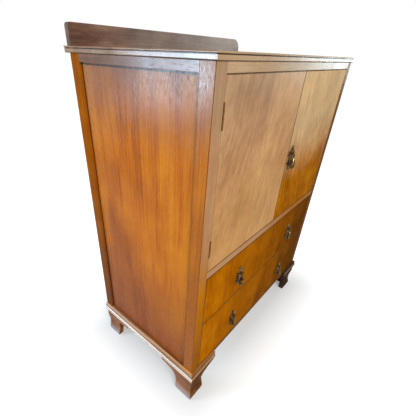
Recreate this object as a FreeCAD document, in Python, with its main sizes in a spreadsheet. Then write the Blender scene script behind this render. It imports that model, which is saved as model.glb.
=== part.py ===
import FreeCAD, Part
import collections
import math
import os
import Sketcher

# A chifforobe: a cupboard with two flush doors over two long drawers, in a frame-and-panel carcase
# with a moulded top, a gallery board along the back, a base moulding and four ogee bracket feet.
#
# Millimetres. X runs to the right as seen from the front, Y to the back and Z up. The origin is on
# the floor, midway between the sides and midway between the front and the back of the carcase.
# Pieces of the left side are built and the right-hand ones are their mirror images.

Vector = FreeCAD.Vector
document = FreeCAD.newDocument("Chifforobe")
sheet = document.addObject("Spreadsheet::Sheet", "Sizes")
sub_parts = []


# Lengths that remember the spreadsheet expression they come from ---------------------------------

def value_of(item):
    return item.value if isinstance(item, Size) else item


def text_of(item):
    return item.text if isinstance(item, Size) else repr(item)


def joined(first, sign, second, value):
    return Size(value, f"({text_of(first)} {sign} {text_of(second)})")


class Size:
    """A length in millimetres and the expression that gives it in the document."""

    def __init__(self, value, text):
        self.value = value
        self.text = text

    def __add__(self, other):
        return joined(self, "+", other, self.value + value_of(other))

    def __radd__(self, other):
        return joined(other, "+", self, value_of(other) + self.value)

    def __sub__(self, other):
        return joined(self, "-", other, self.value - value_of(other))

    def __rsub__(self, other):
        return joined(other, "-", self, value_of(other) - self.value)

    def __mul__(self, other):
        return joined(self, "*", other, self.value * value_of(other))

    def __truediv__(self, other):
        return joined(self, "/", other, self.value / value_of(other))

    def __neg__(self):
        return joined(self, "*", -1, -self.value)


def size(alias, value):
    """Put one driving dimension on the next row of the sheet."""
    size.row += 1
    sheet.set(f"A{size.row}", alias)
    sheet.set(f"B{size.row}", str(value))
    sheet.setAlias(f"B{size.row}", alias)
    return Size(value, f"Sizes.{alias}")


size.row = 0

# Driving dimensions -------------------------------------------------------------------------------

carcase_width = size("carcase_width", 914)
carcase_depth = size("carcase_depth", 515)
carcase_height = size("carcase_height", 1015)
foot_rise = size("foot_rise", 155)

top_thickness = size("top_thickness", 17)
top_overhang = size("top_overhang", 5)
top_back_overhang = size("top_back_overhang", 22)
top_bead = size("top_bead", 4.8)
top_quirk = size("top_quirk", 1.4)
gallery_height = size("gallery_height", 57)
gallery_thickness = size("gallery_thickness", 18)
gallery_length = size("gallery_length", 900)
gallery_corner = size("gallery_corner", 9)
gallery_shoulder = size("gallery_shoulder", 44)
gallery_flare = size("gallery_flare", 10)

post_width = size("post_width", 37)
front_post_depth = size("front_post_depth", 41)
back_post_depth = size("back_post_depth", 40)
post_corner = size("post_corner", 2.5)
panel_recess = size("panel_recess", 7)
panel_thickness = size("panel_thickness", 8)
groove_depth = size("groove_depth", 7)
side_rail_thickness = size("side_rail_thickness", 27)
side_top_rail = size("side_top_rail", 21)
side_bottom_rail = size("side_bottom_rail", 20)

rail_depth = size("rail_depth", 40)
top_rail_height = size("top_rail_height", 21)
door_lip = size("door_lip", 8)
mid_rail_top = size("mid_rail_top", 480)
mid_rail_height = size("mid_rail_height", 28)
drawer_rail_top = size("drawer_rail_top", 258)
drawer_rail_height = size("drawer_rail_height", 20)
drawer_rail_depth = size("drawer_rail_depth", 45)
bottom_rail_height = size("bottom_rail_height", 16)
tenon_length = size("tenon_length", 14)
tenon_shoulder = size("tenon_shoulder", 4)
tenon_thickness = size("tenon_thickness", 10)

board_thickness = size("board_thickness", 9)
shelf_thickness = size("shelf_thickness", 16)
shelf_height = size("shelf_height", 740)
bearer_width = size("bearer_width", 28)
bearer_height = size("bearer_height", 26)
bottom_board_thickness = size("bottom_board_thickness", 6)
bottom_board_rise = size("bottom_board_rise", 4)
back_panel_thickness = size("back_panel_thickness", 5)
back_rebate_depth = size("back_rebate_depth", 7)
back_rebate_width = size("back_rebate_width", 9)
back_rail_thickness = size("back_rail_thickness", 20)
back_rail_height = size("back_rail_height", 36)
runner_width = size("runner_width", 44)
guide_height = size("guide_height", 20)

moulding_projection = size("moulding_projection", 12)
moulding_rise = size("moulding_rise", 16)
moulding_drop = size("moulding_drop", 21)
moulding_bed = size("moulding_bed", 20)
moulding_return = size("moulding_return", 136)

bracket_reach = size("bracket_reach", 150)
bracket_thickness = size("bracket_thickness", 21)
bracket_tip = size("bracket_tip", 18)
side_neck = size("side_neck", 83)
side_toe = size("side_toe", 75)
side_pad = size("side_pad", 70)
front_neck = size("front_neck", 67)
front_toe = size("front_toe", 72)
front_pad = size("front_pad", 68)
bracket_spring = size("bracket_spring", 14)
bracket_spring_radius = size("bracket_spring_radius", 18)
bracket_arch_radius = size("bracket_arch_radius", 170)
foot_shoulder = size("foot_shoulder", 4.5)
foot_swell = size("foot_swell", 3)
foot_toe = size("foot_toe", 4)
foot_sole = size("foot_sole", 2)
foot_upper_radius = size("foot_upper_radius", 125)
foot_hollow_radius = size("foot_hollow_radius", 119)
foot_toe_radius = size("foot_toe_radius", 22)
back_foot_inset = size("back_foot_inset", 5)
back_bracket_thickness = size("back_bracket_thickness", 22)
foot_block = size("foot_block", 30)
foot_block_lift = size("foot_block_lift", 84)

door_gap = size("door_gap", 1.2)
meeting_gap = size("meeting_gap", 1.6)
front_thickness = size("front_thickness", 20)
front_arris = size("front_arris", 1)
stop_gap = size("stop_gap", 0.5)

hinge_length = size("hinge_length", 55)
hinge_inset = size("hinge_inset", 53)
hinge_leaf_width = size("hinge_leaf_width", 19)
hinge_leaf_thickness = size("hinge_leaf_thickness", 1.2)
hinge_proud = size("hinge_proud", 0.2)
knuckle_radius = size("knuckle_radius", 2.3)
knuckle_relief = size("knuckle_relief", 2.6)
knuckle_play = size("knuckle_play", 0.15)
hinge_pin_radius = size("hinge_pin_radius", 1.2)
hinge_pin_play = size("hinge_pin_play", 0.05)
hinge_pin_head = size("hinge_pin_head", 1)

drawer_split = size("drawer_split", 248)
drawer_side = size("drawer_side", 11)
drawer_lap = size("drawer_lap", 6)
drawer_depth = size("drawer_depth", 462)
drawer_bottom = size("drawer_bottom", 5)
drawer_groove_rise = size("drawer_groove_rise", 9)
drawer_groove_depth = size("drawer_groove_depth", 5)
drawer_back_drop = size("drawer_back_drop", 8)
drawer_play = size("drawer_play", 0.3)
drawer_headroom = size("drawer_headroom", 3)
tail_flare = size("tail_flare", 2)

plate_height = size("plate_height", 88)
plate_width = size("plate_width", 46)
plate_thickness = size("plate_thickness", 2.2)
pivot_rise = size("pivot_rise", 16)
pivot_reach = size("pivot_reach", 13)
pivot_radius = size("pivot_radius", 1.4)
pivot_play = size("pivot_play", 0.06)
lug_radius = size("lug_radius", 3.6)
lug_gap = size("lug_gap", 6.4)
lug_thickness = size("lug_thickness", 2)
drop_length = size("drop_length", 56)
drop_radius = size("drop_radius", 9)
drop_neck = size("drop_neck", 2)
drop_collar = size("drop_collar", 4)
handle_spread = size("handle_spread", 210)
door_handle_inset = size("door_handle_inset", 28)
door_handle_height = size("door_handle_height", 724)
upper_handle_height = size("upper_handle_height", 333)
lower_handle_height = size("lower_handle_height", 109)

bolt_offset = size("bolt_offset", 18)
bolt_width = size("bolt_width", 6)
bolt_thickness = size("bolt_thickness", 4)
bolt_length = size("bolt_length", 56)
bolt_play = size("bolt_play", 0.4)
bolt_throw = size("bolt_throw", 10)
bolt_plate_width = size("bolt_plate_width", 22)
bolt_plate_thickness = size("bolt_plate_thickness", 1.5)
bolt_staple = size("bolt_staple", 8)
bolt_knob_radius = size("bolt_knob_radius", 3.5)
bolt_knob_length = size("bolt_knob_length", 7)
strike_thickness = size("strike_thickness", 1)
strike_length = size("strike_length", 26)
catch_radius = size("catch_radius", 4.5)
catch_depth = size("catch_depth", 16)
catch_ball = size("catch_ball", 0.9)
catch_play = size("catch_play", 0.03)

# Planes that the pieces share -----------------------------------------------------------------------

base = foot_rise
top_under = base + carcase_height
top_face = top_under + top_thickness
left = -carcase_width / 2
front = -carcase_depth / 2
back = carcase_depth / 2
opening_left = left + post_width
opening_right = -opening_left
front_post_back = front + front_post_depth
back_post_front = back - back_post_depth
panel_outer = left + panel_recess
panel_inner = panel_outer + panel_thickness
rail_inner = left + side_rail_thickness
rail_back = front + rail_depth
back_panel_face = back - back_rebate_depth
back_rail_face = back_panel_face - back_rail_thickness
mid_top = base + mid_rail_top
mid_bottom = mid_top - mid_rail_height
door_low = mid_top + door_gap
door_high = top_under - top_rail_height - door_gap
front_inner = front + front_thickness
door_left = opening_left + door_gap
moulding_low = base - moulding_drop


# Sketches and features ------------------------------------------------------------------------------

Corner = collections.namedtuple("Corner", "across up radius turn", defaults=(None, 0))
Circle = collections.namedtuple("Circle", "across up radius")

PLANES = {"X": "YZ_Plane", "Y": "XZ_Plane", "Z": "XY_Plane"}
LEFT_TURN = 1
RIGHT_TURN = -1


def rectangle(low_across, high_across, low_up, high_up):
    return [
        Corner(low_across, low_up),
        Corner(high_across, low_up),
        Corner(high_across, high_up),
        Corner(low_across, high_up),
    ]


def flat(corner):
    return Vector(value_of(corner.across), value_of(corner.up), 0)


def arc_from(start, end, radius, turn):
    """The short arc from start to end that turns left or right, and whether it runs backwards."""
    chord = end - start
    rise = math.sqrt(radius ** 2 - (chord.Length / 2) ** 2)
    centre = (start + end) * 0.5 + Vector(-chord.y, chord.x, 0).normalize() * (turn * rise)
    ends = (start, end) if turn == LEFT_TURN else (end, start)
    angles = [math.atan2(point.y - centre.y, point.x - centre.x) for point in ends]
    circle = Part.Circle(centre, Vector(0, 0, 1), radius)
    return Part.ArcOfCircle(circle, angles[0], angles[1]), turn == RIGHT_TURN


def constrain(sketch, kind, *where, length):
    """A dimension whose value stays bound to the sheet."""
    index = sketch.addConstraint(Sketcher.Constraint(kind, *where, value_of(length)))
    if isinstance(length, Size):
        sketch.setExpression(f"Constraints[{index}]", length.text)


def draw_outline(sketch, corners):
    """A closed outline of lines and arcs, with every corner dimensioned from the origin."""
    edges = []
    for corner, following in zip(corners, corners[1:] + corners[:1]):
        start = flat(corner)
        end = flat(following)
        if corner.radius is None:
            index = sketch.addGeometry(Part.LineSegment(start, end))
            edges.append((index, 1, 2))
            continue
        arc, backwards = arc_from(start, end, value_of(corner.radius), corner.turn)
        index = sketch.addGeometry(arc)
        edges.append((index, 2, 1) if backwards else (index, 1, 2))
        constrain(sketch, "Radius", index, length=corner.radius)
    for edge, following in zip(edges, edges[1:] + edges[:1]):
        joint = Sketcher.Constraint("Coincident", edge[0], edge[2], following[0], following[1])
        sketch.addConstraint(joint)
    for edge, corner in zip(edges, corners):
        constrain(sketch, "DistanceX", -1, 1, edge[0], edge[1], length=corner.across)
        constrain(sketch, "DistanceY", -1, 1, edge[0], edge[1], length=corner.up)


def draw_circle(sketch, circle):
    index = sketch.addGeometry(Part.Circle(flat(circle), Vector(0, 0, 1), value_of(circle.radius)))
    constrain(sketch, "Radius", index, length=circle.radius)
    constrain(sketch, "DistanceX", -1, 1, index, 3, length=circle.across)
    constrain(sketch, "DistanceY", -1, 1, index, 3, length=circle.up)


def sketch_across(body, axis, distance, outlines):
    """A sketch on the body's own plane across an axis, at a distance along that axis."""
    sketch = body.newObject("Sketcher::SketchObject", f"{body.Name}_outline")
    role = PLANES[axis]
    plane = next(item for item in body.Origin.OriginFeatures if item.Role == role)
    sketch.AttachmentSupport = [(plane, "")]
    sketch.MapMode = "FlatFace"
    normal_distance = -distance if axis == "Y" else distance
    if isinstance(normal_distance, Size):
        sketch.setExpression("AttachmentOffset.Base.z", normal_distance.text)
    elif normal_distance:
        sketch.AttachmentOffset = FreeCAD.Placement(Vector(0, 0, normal_distance), FreeCAD.Rotation())
    for outline in outlines:
        if isinstance(outline, Circle):
            draw_circle(sketch, outline)
        else:
            draw_outline(sketch, outline)
    return sketch


def extrude(body, kind, axis, start, end, *outlines):
    """Pad or pocket outlines that lie across an axis, from start to end along it."""
    sketch = sketch_across(body, axis, start, outlines)
    feature = body.newObject(f"PartDesign::{kind}", f"{body.Name}_{kind}")
    feature.Profile = sketch
    feature.setExpression("Length", text_of(end - start))
    feature.Reversed = (kind == "Pocket") != (axis == "Y")
    return feature


def pad(body, axis, start, end, *outlines):
    return extrude(body, "Pad", axis, start, end, *outlines)


def pocket(body, axis, start, end, *outlines):
    return extrude(body, "Pocket", axis, start, end, *outlines)


def revolve(body, outline):
    """Turn an outline drawn on the XZ plane about the vertical through the body's origin."""
    sketch = sketch_across(body, "Y", 0, [outline])
    feature = body.newObject("PartDesign::Revolution", f"{body.Name}_turning")
    feature.Profile = sketch
    feature.ReferenceAxis = (sketch, ["V_Axis"])
    feature.Angle = 360
    return feature


def round_edges(body, radius, chosen, kind="Fillet"):
    """Fillet or chamfer the edges of the body so far that the test picks out."""
    document.recompute()
    tip = body.Tip
    names = [f"Edge{number}" for number, edge in enumerate(tip.Shape.Edges, 1) if chosen(edge)]
    feature = body.newObject(f"PartDesign::{kind}", f"{body.Name}_{kind}")
    feature.Base = (tip, names)
    feature.setExpression("Radius" if kind == "Fillet" else "Size", radius.text)
    return feature


def on_plane(edge, axis, distance):
    """Whether a whole edge lies at a distance along an axis."""
    low = getattr(edge.BoundBox, f"{axis}Min")
    high = getattr(edge.BoundBox, f"{axis}Max")
    place = value_of(distance)
    return abs(low - place) < 1e-4 and abs(high - place) < 1e-4


def new_body(name):
    body = document.addObject("PartDesign::Body", name)
    body.Label = name
    return body


def place(body, axis, distance):
    body.setExpression(f"Placement.Base.{axis}", distance.text)


def board(name, across, along, up):
    """A plain board between two planes in each direction."""
    body = new_body(name)
    pad(body, "Z", up[0], up[1], rectangle(across[0], across[1], along[0], along[1]))
    return body


def mirrored(name, source, axis="x", distance=None):
    """The mirror image of a piece, in a plane across an axis."""
    image = document.addObject("Part::Mirroring", name)
    image.Label = name
    image.Source = source
    image.Normal = Vector(axis == "x", axis == "y", axis == "z")
    if distance is not None:
        image.setExpression(f"Base.{axis}", distance.text)
    return image


def group(name, *things):
    """Separate solids of one kind in one named group."""
    compound = document.addObject("Part::Compound", name)
    compound.Label = name
    compound.Links = list(things)
    return compound


def keep(*things):
    sub_parts.extend(things)


def keep_both(name, source):
    """Keep a left-hand piece and its right-hand image; the name holds the word left."""
    keep(source, mirrored(name.replace("left", "right"), source))


# Top board: a beaded top edge, a quirk, and a lower member with an ovolo under it --------------------

def top_layer(body, overhang, low, high):
    edge = carcase_width / 2 + overhang
    pad(body, "Z", low, high, rectangle(-edge, edge, front - overhang, back + top_back_overhang))


def make_top_board():
    body = new_body("top_board")
    member_overhang = top_overhang - 1.5
    quirk_overhang = top_overhang - 3
    bead_low = top_face - top_bead
    quirk_low = bead_low - top_quirk
    top_layer(body, member_overhang, top_under, quirk_low)
    top_layer(body, quirk_overhang, quirk_low, bead_low)
    top_layer(body, top_overhang, bead_low, top_face)

    def on_moulded_side(edge, overhang):
        side = carcase_width / 2 + overhang
        faces = [("X", side), ("X", -side), ("Y", front - overhang)]
        return any(on_plane(edge, axis, distance) for axis, distance in faces)

    def bead_edge(edge):
        level = on_plane(edge, "Z", top_face) or on_plane(edge, "Z", bead_low)
        return level and on_moulded_side(edge, top_overhang)

    def member_edge(edge):
        return on_plane(edge, "Z", top_under) and on_moulded_side(edge, member_overhang)

    round_edges(body, top_bead * 0.45, bead_edge)
    round_edges(body, top_overhang * 0.6, member_edge)
    keep(body)


def make_gallery():
    """Square at the left end, with a broad rounded shoulder and a small flare at the right end."""
    body = new_body("gallery_board")
    end = gallery_length / 2
    crest = top_face + gallery_height
    shoulder_foot = crest - gallery_shoulder - 1
    outline = [
        Corner(-end, top_face),
        Corner(end, top_face),
        Corner(end, shoulder_foot - gallery_flare, gallery_flare, RIGHT_TURN),
        Corner(end - gallery_flare, shoulder_foot, gallery_shoulder, LEFT_TURN),
        Corner(end - gallery_flare - gallery_shoulder, crest),
        Corner(gallery_corner - end, crest, gallery_corner, LEFT_TURN),
        Corner(-end, crest - gallery_corner),
    ]
    gallery_back = back + top_back_overhang
    pad(body, "Y", gallery_back - gallery_thickness, gallery_back, outline)
    keep(body)


# Carcase frame -----------------------------------------------------------------------------------------

hinge_axis_x = opening_left + door_gap / 2
hinge_axis_y = front - hinge_proud
hinge_high_top = door_high - hinge_inset
hinge_high_low = hinge_high_top - hinge_length
hinge_low_low = door_low + hinge_inset
hinge_low_top = hinge_low_low + hinge_length
hinge_middle = (hinge_high_top + hinge_low_low) / 2
hinge_leaf_back = hinge_axis_y + hinge_leaf_width
HINGE_SPANS = [(hinge_low_low, hinge_low_top), (hinge_high_low, hinge_high_top)]


def cut_hinge_seats(body, seat_low, seat_high):
    """Recesses for the leaves of both hinges, and clearance round their knuckles."""
    for low, high in HINGE_SPANS:
        pocket(body, "Z", low, high, rectangle(seat_low, seat_high, front, hinge_leaf_back))
        relief = Circle(hinge_axis_x, hinge_axis_y, knuckle_relief)
        past_head = hinge_pin_head + knuckle_play * 2
        pocket(body, "Z", low - past_head, high + past_head, relief)


def make_front_post():
    body = new_body("front_left_post")
    groove_end = front_post_back - groove_depth
    section = [
        Corner(left, front),
        Corner(opening_left, front),
        Corner(opening_left, front_post_back),
        Corner(panel_inner, front_post_back),
        Corner(panel_inner, groove_end),
        Corner(panel_outer, groove_end),
        Corner(panel_outer, front_post_back),
        Corner(left, front_post_back),
    ]
    pad(body, "Z", base, top_under, section)
    round_edges(body, post_corner, lambda edge: on_plane(edge, "X", left) and on_plane(edge, "Y", front))
    for rail in FRONT_RAILS:
        pocket(body, "X", opening_left - tenon_length, opening_left, tenon_section(rail))
    cut_hinge_seats(body, opening_left - hinge_leaf_thickness, opening_left)
    keep_both("front_left_post", body)


def make_back_post():
    body = new_body("back_left_post")
    groove_end = back_post_front + groove_depth
    rebate_side = opening_left - back_rebate_width
    section = [
        Corner(left, back_post_front),
        Corner(panel_outer, back_post_front),
        Corner(panel_outer, groove_end),
        Corner(panel_inner, groove_end),
        Corner(panel_inner, back_post_front),
        Corner(opening_left, back_post_front),
        Corner(opening_left, back_panel_face),
        Corner(rebate_side, back_panel_face),
        Corner(rebate_side, back),
        Corner(left, back),
    ]
    pad(body, "Z", base, top_under, section)
    keep_both("back_left_post", body)


def side_rail(name, shoulder, groove_floor, outer_edge):
    """A rail with a panel groove and end tenons that fill the posts' grooves."""
    body = new_body(name)
    section = [
        Corner(left, outer_edge),
        Corner(left, shoulder),
        Corner(panel_outer, shoulder),
        Corner(panel_outer, groove_floor),
        Corner(panel_inner, groove_floor),
        Corner(panel_inner, shoulder),
        Corner(rail_inner, shoulder),
        Corner(rail_inner, outer_edge),
    ]
    pad(body, "Y", front_post_back, back_post_front, section)
    tenon = rectangle(panel_outer, panel_inner, groove_floor, outer_edge)
    pad(body, "Y", front_post_back - groove_depth, back_post_front + groove_depth, tenon)
    return body


def make_sides():
    top_shoulder = top_under - side_top_rail
    bottom_shoulder = base + side_bottom_rail
    panel_top = top_shoulder + groove_depth
    panel_low = bottom_shoulder - groove_depth
    top_rail = side_rail("left_side_top_rail", top_shoulder, panel_top, top_under)
    bottom_rail = side_rail("left_side_bottom_rail", bottom_shoulder, panel_low, base)
    keep_both("left_side_rails", group("left_side_rails", top_rail, bottom_rail))
    along = (front_post_back - groove_depth, back_post_front + groove_depth)
    panel = board("left_side_panel", (panel_outer, panel_inner), along, (panel_low, panel_top))
    keep_both("left_side_panel", panel)


# Front rails, each with a stub tenon at both ends -------------------------------------------------------

Rail = collections.namedtuple("Rail", "name low high front_face")
TOP_RAIL = Rail("front_top_rail", top_under - top_rail_height, top_under, front)
MID_RAIL = Rail("mid_rail", mid_bottom, mid_top, front)
drawer_rail_face = front_inner + stop_gap * 2
DRAWER_RAIL = Rail(
    "drawer_rail",
    base + drawer_rail_top - drawer_rail_height,
    base + drawer_rail_top,
    drawer_rail_face,
)
BOTTOM_RAIL = Rail("bottom_rail", base, base + bottom_rail_height, front)
FRONT_RAILS = [TOP_RAIL, MID_RAIL, DRAWER_RAIL, BOTTOM_RAIL]


def tenon_section(rail):
    near = rail.front_face + tenon_shoulder + 2
    return rectangle(near, near + tenon_thickness, rail.low + tenon_shoulder, rail.high - tenon_shoulder)


def front_rail(rail, section):
    body = new_body(rail.name)
    pad(body, "X", opening_left, opening_right, section)
    pad(body, "X", opening_left - tenon_length, opening_right + tenon_length, tenon_section(rail))
    return body


bolt_x = -bolt_offset
bolt_near = front_inner + bolt_plate_thickness + bolt_play
lip_face = front_inner + stop_gap
lip_low = TOP_RAIL.low - door_lip
catch_x = bolt_offset
catch_y = front + front_thickness / 2


def make_top_rail():
    """Rebated, so that its lip stops the doors; let in for the two strike plates."""
    section = [
        Corner(front, TOP_RAIL.low),
        Corner(lip_face, TOP_RAIL.low),
        Corner(lip_face, lip_low),
        Corner(rail_back, lip_low),
        Corner(rail_back, TOP_RAIL.high),
        Corner(front, TOP_RAIL.high),
    ]
    body = front_rail(TOP_RAIL, section)
    half = strike_length / 2
    bolt_seat = rectangle(bolt_x - half, bolt_x + half, lip_face, rail_back)
    pocket(body, "Z", lip_low, lip_low + strike_thickness, bolt_seat)
    pocket(body, "Z", lip_low, TOP_RAIL.low + 2, bolt_hole())
    catch_seat = rectangle(catch_x - half, catch_x + half, catch_y - catch_radius, catch_y + catch_radius)
    pocket(body, "Z", TOP_RAIL.low, TOP_RAIL.low + strike_thickness, catch_seat)
    keep(body)


def bolt_hole():
    half = bolt_width / 2 + bolt_play
    bolt_far = bolt_near + bolt_thickness
    return rectangle(bolt_x - half, bolt_x + half, bolt_near - bolt_play, bolt_far + bolt_play)


def make_strikes():
    half = strike_length / 2
    bolt_strike = new_body("bolt_strike")
    seat = rectangle(bolt_x - half, bolt_x + half, lip_face, rail_back)
    pad(bolt_strike, "Z", lip_low, lip_low + strike_thickness, seat)
    pocket(bolt_strike, "Z", lip_low, lip_low + strike_thickness, bolt_hole())
    catch_strike = new_body("catch_strike")
    seat = rectangle(catch_x - half, catch_x + half, catch_y - catch_radius, catch_y + catch_radius)
    pad(catch_strike, "Z", TOP_RAIL.low, TOP_RAIL.low + strike_thickness, seat)
    dimple = Circle(catch_x, catch_y, catch_radius / 2)
    pocket(catch_strike, "Z", TOP_RAIL.low, TOP_RAIL.low + strike_thickness, dimple)
    keep(group("door_strikes", bolt_strike, catch_strike))


def make_front_rails():
    make_top_rail()
    rebate = rail_back - tenon_thickness
    mid_section = [
        Corner(front, MID_RAIL.low),
        Corner(rail_back, MID_RAIL.low),
        Corner(rail_back, MID_RAIL.high - board_thickness),
        Corner(rebate, MID_RAIL.high - board_thickness),
        Corner(rebate, MID_RAIL.high),
        Corner(front, MID_RAIL.high),
    ]
    keep(front_rail(MID_RAIL, mid_section))
    drawer_section = rectangle(
        drawer_rail_face, drawer_rail_face + drawer_rail_depth, DRAWER_RAIL.low, DRAWER_RAIL.high
    )
    keep(front_rail(DRAWER_RAIL, drawer_section))
    keep(front_rail(BOTTOM_RAIL, rectangle(front, rail_back, BOTTOM_RAIL.low, BOTTOM_RAIL.high)))


# Inner boards, bearers, runners and the back --------------------------------------------------------------

def notched_board(name, wide, near, far, low, high):
    """A board that fills the carcase between the sides and fits round the four posts."""
    body = new_body(name)
    outline = [
        Corner(opening_left, near),
        Corner(opening_right, near),
        Corner(opening_right, front_post_back),
        Corner(wide, front_post_back),
        Corner(wide, back_post_front),
        Corner(opening_right, back_post_front),
        Corner(opening_right, far),
        Corner(opening_left, far),
        Corner(opening_left, back_post_front),
        Corner(-wide, back_post_front),
        Corner(-wide, front_post_back),
        Corner(opening_left, front_post_back),
    ]
    pad(body, "Z", low, high, outline)
    return body


def make_inner_boards():
    rebate = rail_back - tenon_thickness
    floor_low = mid_top - board_thickness
    keep(notched_board("cupboard_floor", -panel_inner, rebate, back_panel_face, floor_low, mid_top))
    shelf_low = base + shelf_height
    shelf_front = front_post_back - tenon_shoulder
    shelf_top = shelf_low + shelf_thickness
    keep(notched_board("shelf", -panel_inner, shelf_front, back_panel_face, shelf_low, shelf_top))
    low = base + bottom_board_rise
    high = low + bottom_board_thickness
    keep(notched_board("bottom_board", -rail_inner, rail_back, back_rail_face, low, high))

    along = (front_post_back, back_post_front)
    across = (panel_inner, panel_inner + bearer_width)
    bearers = []
    for name, high in (("floor", floor_low), ("shelf", shelf_low)):
        bearer = board(f"left_{name}_bearer", across, along, (high - bearer_height, high))
        bearers.extend([bearer, mirrored(f"right_{name}_bearer", bearer)])
    keep(group("shelf_bearers", *bearers))


def make_drawer_tracks():
    """Runners under the drawer sides and guides beside them."""
    runner_edge = panel_inner + runner_width
    guide_edge = opening_left - drawer_play
    upper_along = (drawer_rail_face + drawer_rail_depth, back_post_front)
    lower_along = (rail_back + 1, back_post_front)
    lower_low = base + bottom_board_rise + bottom_board_thickness
    tracks = [
        ("upper", upper_along, panel_inner, DRAWER_RAIL.low, DRAWER_RAIL.high),
        ("lower", lower_along, rail_inner, lower_low, BOTTOM_RAIL.high),
    ]
    runners = []
    guides = []
    for name, along, side, low, high in tracks:
        runner = board(f"left_{name}_runner", (side, runner_edge), along, (low, high))
        guide = board(f"left_{name}_guide", (side, guide_edge), along, (high, high + guide_height))
        runners.extend([runner, mirrored(f"right_{name}_runner", runner)])
        guides.extend([guide, mirrored(f"right_{name}_guide", guide)])
    keep(group("drawer_runners", *runners))
    keep(group("drawer_guides", *guides))


def make_back():
    across = (opening_left, opening_right)
    along = (back_rail_face, back_panel_face)
    upper = board("back_top_rail", across, along, (top_under - back_rail_height, top_under))
    lower = board("back_bottom_rail", across, along, (base, base + back_rail_height))
    keep(group("back_rails", upper, lower))
    wide = opening_right + back_rebate_width
    along = (back_panel_face, back_panel_face + back_panel_thickness)
    keep(board("back_panel", (-wide, wide), along, (base, top_under)))


# Base moulding and feet, mitred at the front corners ------------------------------------------------------

def moulding_section(face):
    """Two rounded members parted by a quirk, on a bed that lies under the carcase."""
    quirk = moulding_rise / 16
    upper = face - moulding_projection * 0.75
    lower = face - moulding_projection
    return [
        Corner(face + moulding_bed, moulding_low),
        Corner(face + moulding_bed, base),
        Corner(face, base),
        Corner(face, base + moulding_rise),
        Corner(face - moulding_projection / 4, base + moulding_rise, moulding_projection * 0.7, LEFT_TURN),
        Corner(upper, base + moulding_rise / 2),
        Corner(upper, base + quirk * 2),
        Corner(face - moulding_projection / 2, base + quirk),
        Corner(face - moulding_projection / 2, base - quirk),
        Corner(upper, base - quirk * 2, moulding_projection * 0.63, LEFT_TURN),
        Corner(lower, base - moulding_rise / 2),
        Corner(lower, base - moulding_drop * 2 / 3, moulding_projection * 0.6, LEFT_TURN),
        Corner(face - moulding_projection / 2, moulding_low),
    ]


def foot_section(face):
    """The outer face of a bracket: full under the moulding, hollow below, out again at the toe."""
    inner = face + bracket_thickness
    swell_up = foot_rise * 0.54
    toe_up = foot_rise * 0.13
    return [
        Corner(inner, 0),
        Corner(inner, moulding_low),
        Corner(face - foot_shoulder, moulding_low, foot_upper_radius, LEFT_TURN),
        Corner(face - foot_swell, swell_up, foot_hollow_radius, RIGHT_TURN),
        Corner(face - foot_toe, toe_up, foot_toe_radius, LEFT_TURN),
        Corner(face - foot_sole, 0),
    ]


Wing = collections.namedtuple("Wing", "reach neck toe pad")

SIDE_WING = Wing(bracket_reach, side_neck, side_toe, side_pad)
FRONT_WING = Wing(moulding_return, front_neck, front_toe, front_pad)


def bracket_waste(edge, way, wing):
    """What is sawn away below a bracket's wing, measured along the face from the carcase edge."""
    tip_up = moulding_low - bracket_tip
    spring_up = foot_rise * 0.68
    neck_up = foot_rise * 0.57
    toe_up = foot_rise * 0.17
    turn = LEFT_TURN if way > 0 else RIGHT_TURN
    return [
        Corner(edge + wing.reach * way, tip_up, bracket_arch_radius, turn),
        Corner(edge + (wing.neck + bracket_spring) * way, spring_up, bracket_spring_radius, turn),
        Corner(edge + wing.neck * way, neck_up),
        Corner(edge + wing.toe * way, toe_up),
        Corner(edge + wing.pad * way, 0),
        Corner(edge + wing.reach * way, 0),
    ]


def mitre_waste(keep_side):
    """The triangle beyond the mitre line through the front left corner of the carcase."""
    out = moulding_projection * 1.25
    into = bracket_thickness + 2
    near = Corner(left - out, front - out)
    far = Corner(left + into, front + into)
    if keep_side:
        return [near, Corner(left + into, front - out), far]
    return [near, far, Corner(left - out, front + into)]


def make_mouldings():
    out = moulding_projection
    high = base + moulding_rise
    side = new_body("left_side_moulding")
    pad(side, "Y", front - out, back, moulding_section(left))
    pocket(side, "Z", moulding_low, high, mitre_waste(keep_side=True))
    keep_both("left_side_moulding", side)
    returned = new_body("left_front_moulding")
    pad(returned, "X", left - out, left + moulding_return, moulding_section(front))
    pocket(returned, "Z", moulding_low, high, mitre_waste(keep_side=False))
    keep_both("left_front_moulding", returned)


def make_front_foot():
    out = moulding_projection
    through = (left - out, left + bracket_thickness)
    side = new_body("front_left_foot_side_bracket")
    pad(side, "Y", front - out, front + bracket_reach, foot_section(left))
    pocket(side, "Z", 0, moulding_low, mitre_waste(keep_side=True))
    pocket(side, "X", *through, bracket_waste(front, 1, SIDE_WING))
    facing = new_body("front_left_foot_front_bracket")
    pad(facing, "X", left - out, left + moulding_return, foot_section(front))
    pocket(facing, "Z", 0, moulding_low, mitre_waste(keep_side=False))
    across = (front - out, front + bracket_thickness)
    pocket(facing, "Y", *across, bracket_waste(left, 1, FRONT_WING))
    keep_both("front_left_foot", group("front_left_foot", side, facing))


def make_back_foot():
    """The side bracket is shaped; the rear one is a plain board butted behind it."""
    rear = back - back_foot_inset
    side = new_body("back_left_foot_side_bracket")
    pad(side, "Y", back - bracket_reach, rear, foot_section(left))
    through = (left - moulding_projection, left + bracket_thickness)
    pocket(side, "X", *through, bracket_waste(back, -1, SIDE_WING))
    plain = new_body("back_left_foot_rear_bracket")
    rear_face = (rear - back_bracket_thickness, rear)
    pad(plain, "Y", *rear_face, rectangle(left + bracket_thickness, left + bracket_reach, 0, base))
    pocket(plain, "Y", *rear_face, bracket_waste(left, 1, SIDE_WING))
    keep_both("back_left_foot", group("back_left_foot", side, plain))


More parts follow.
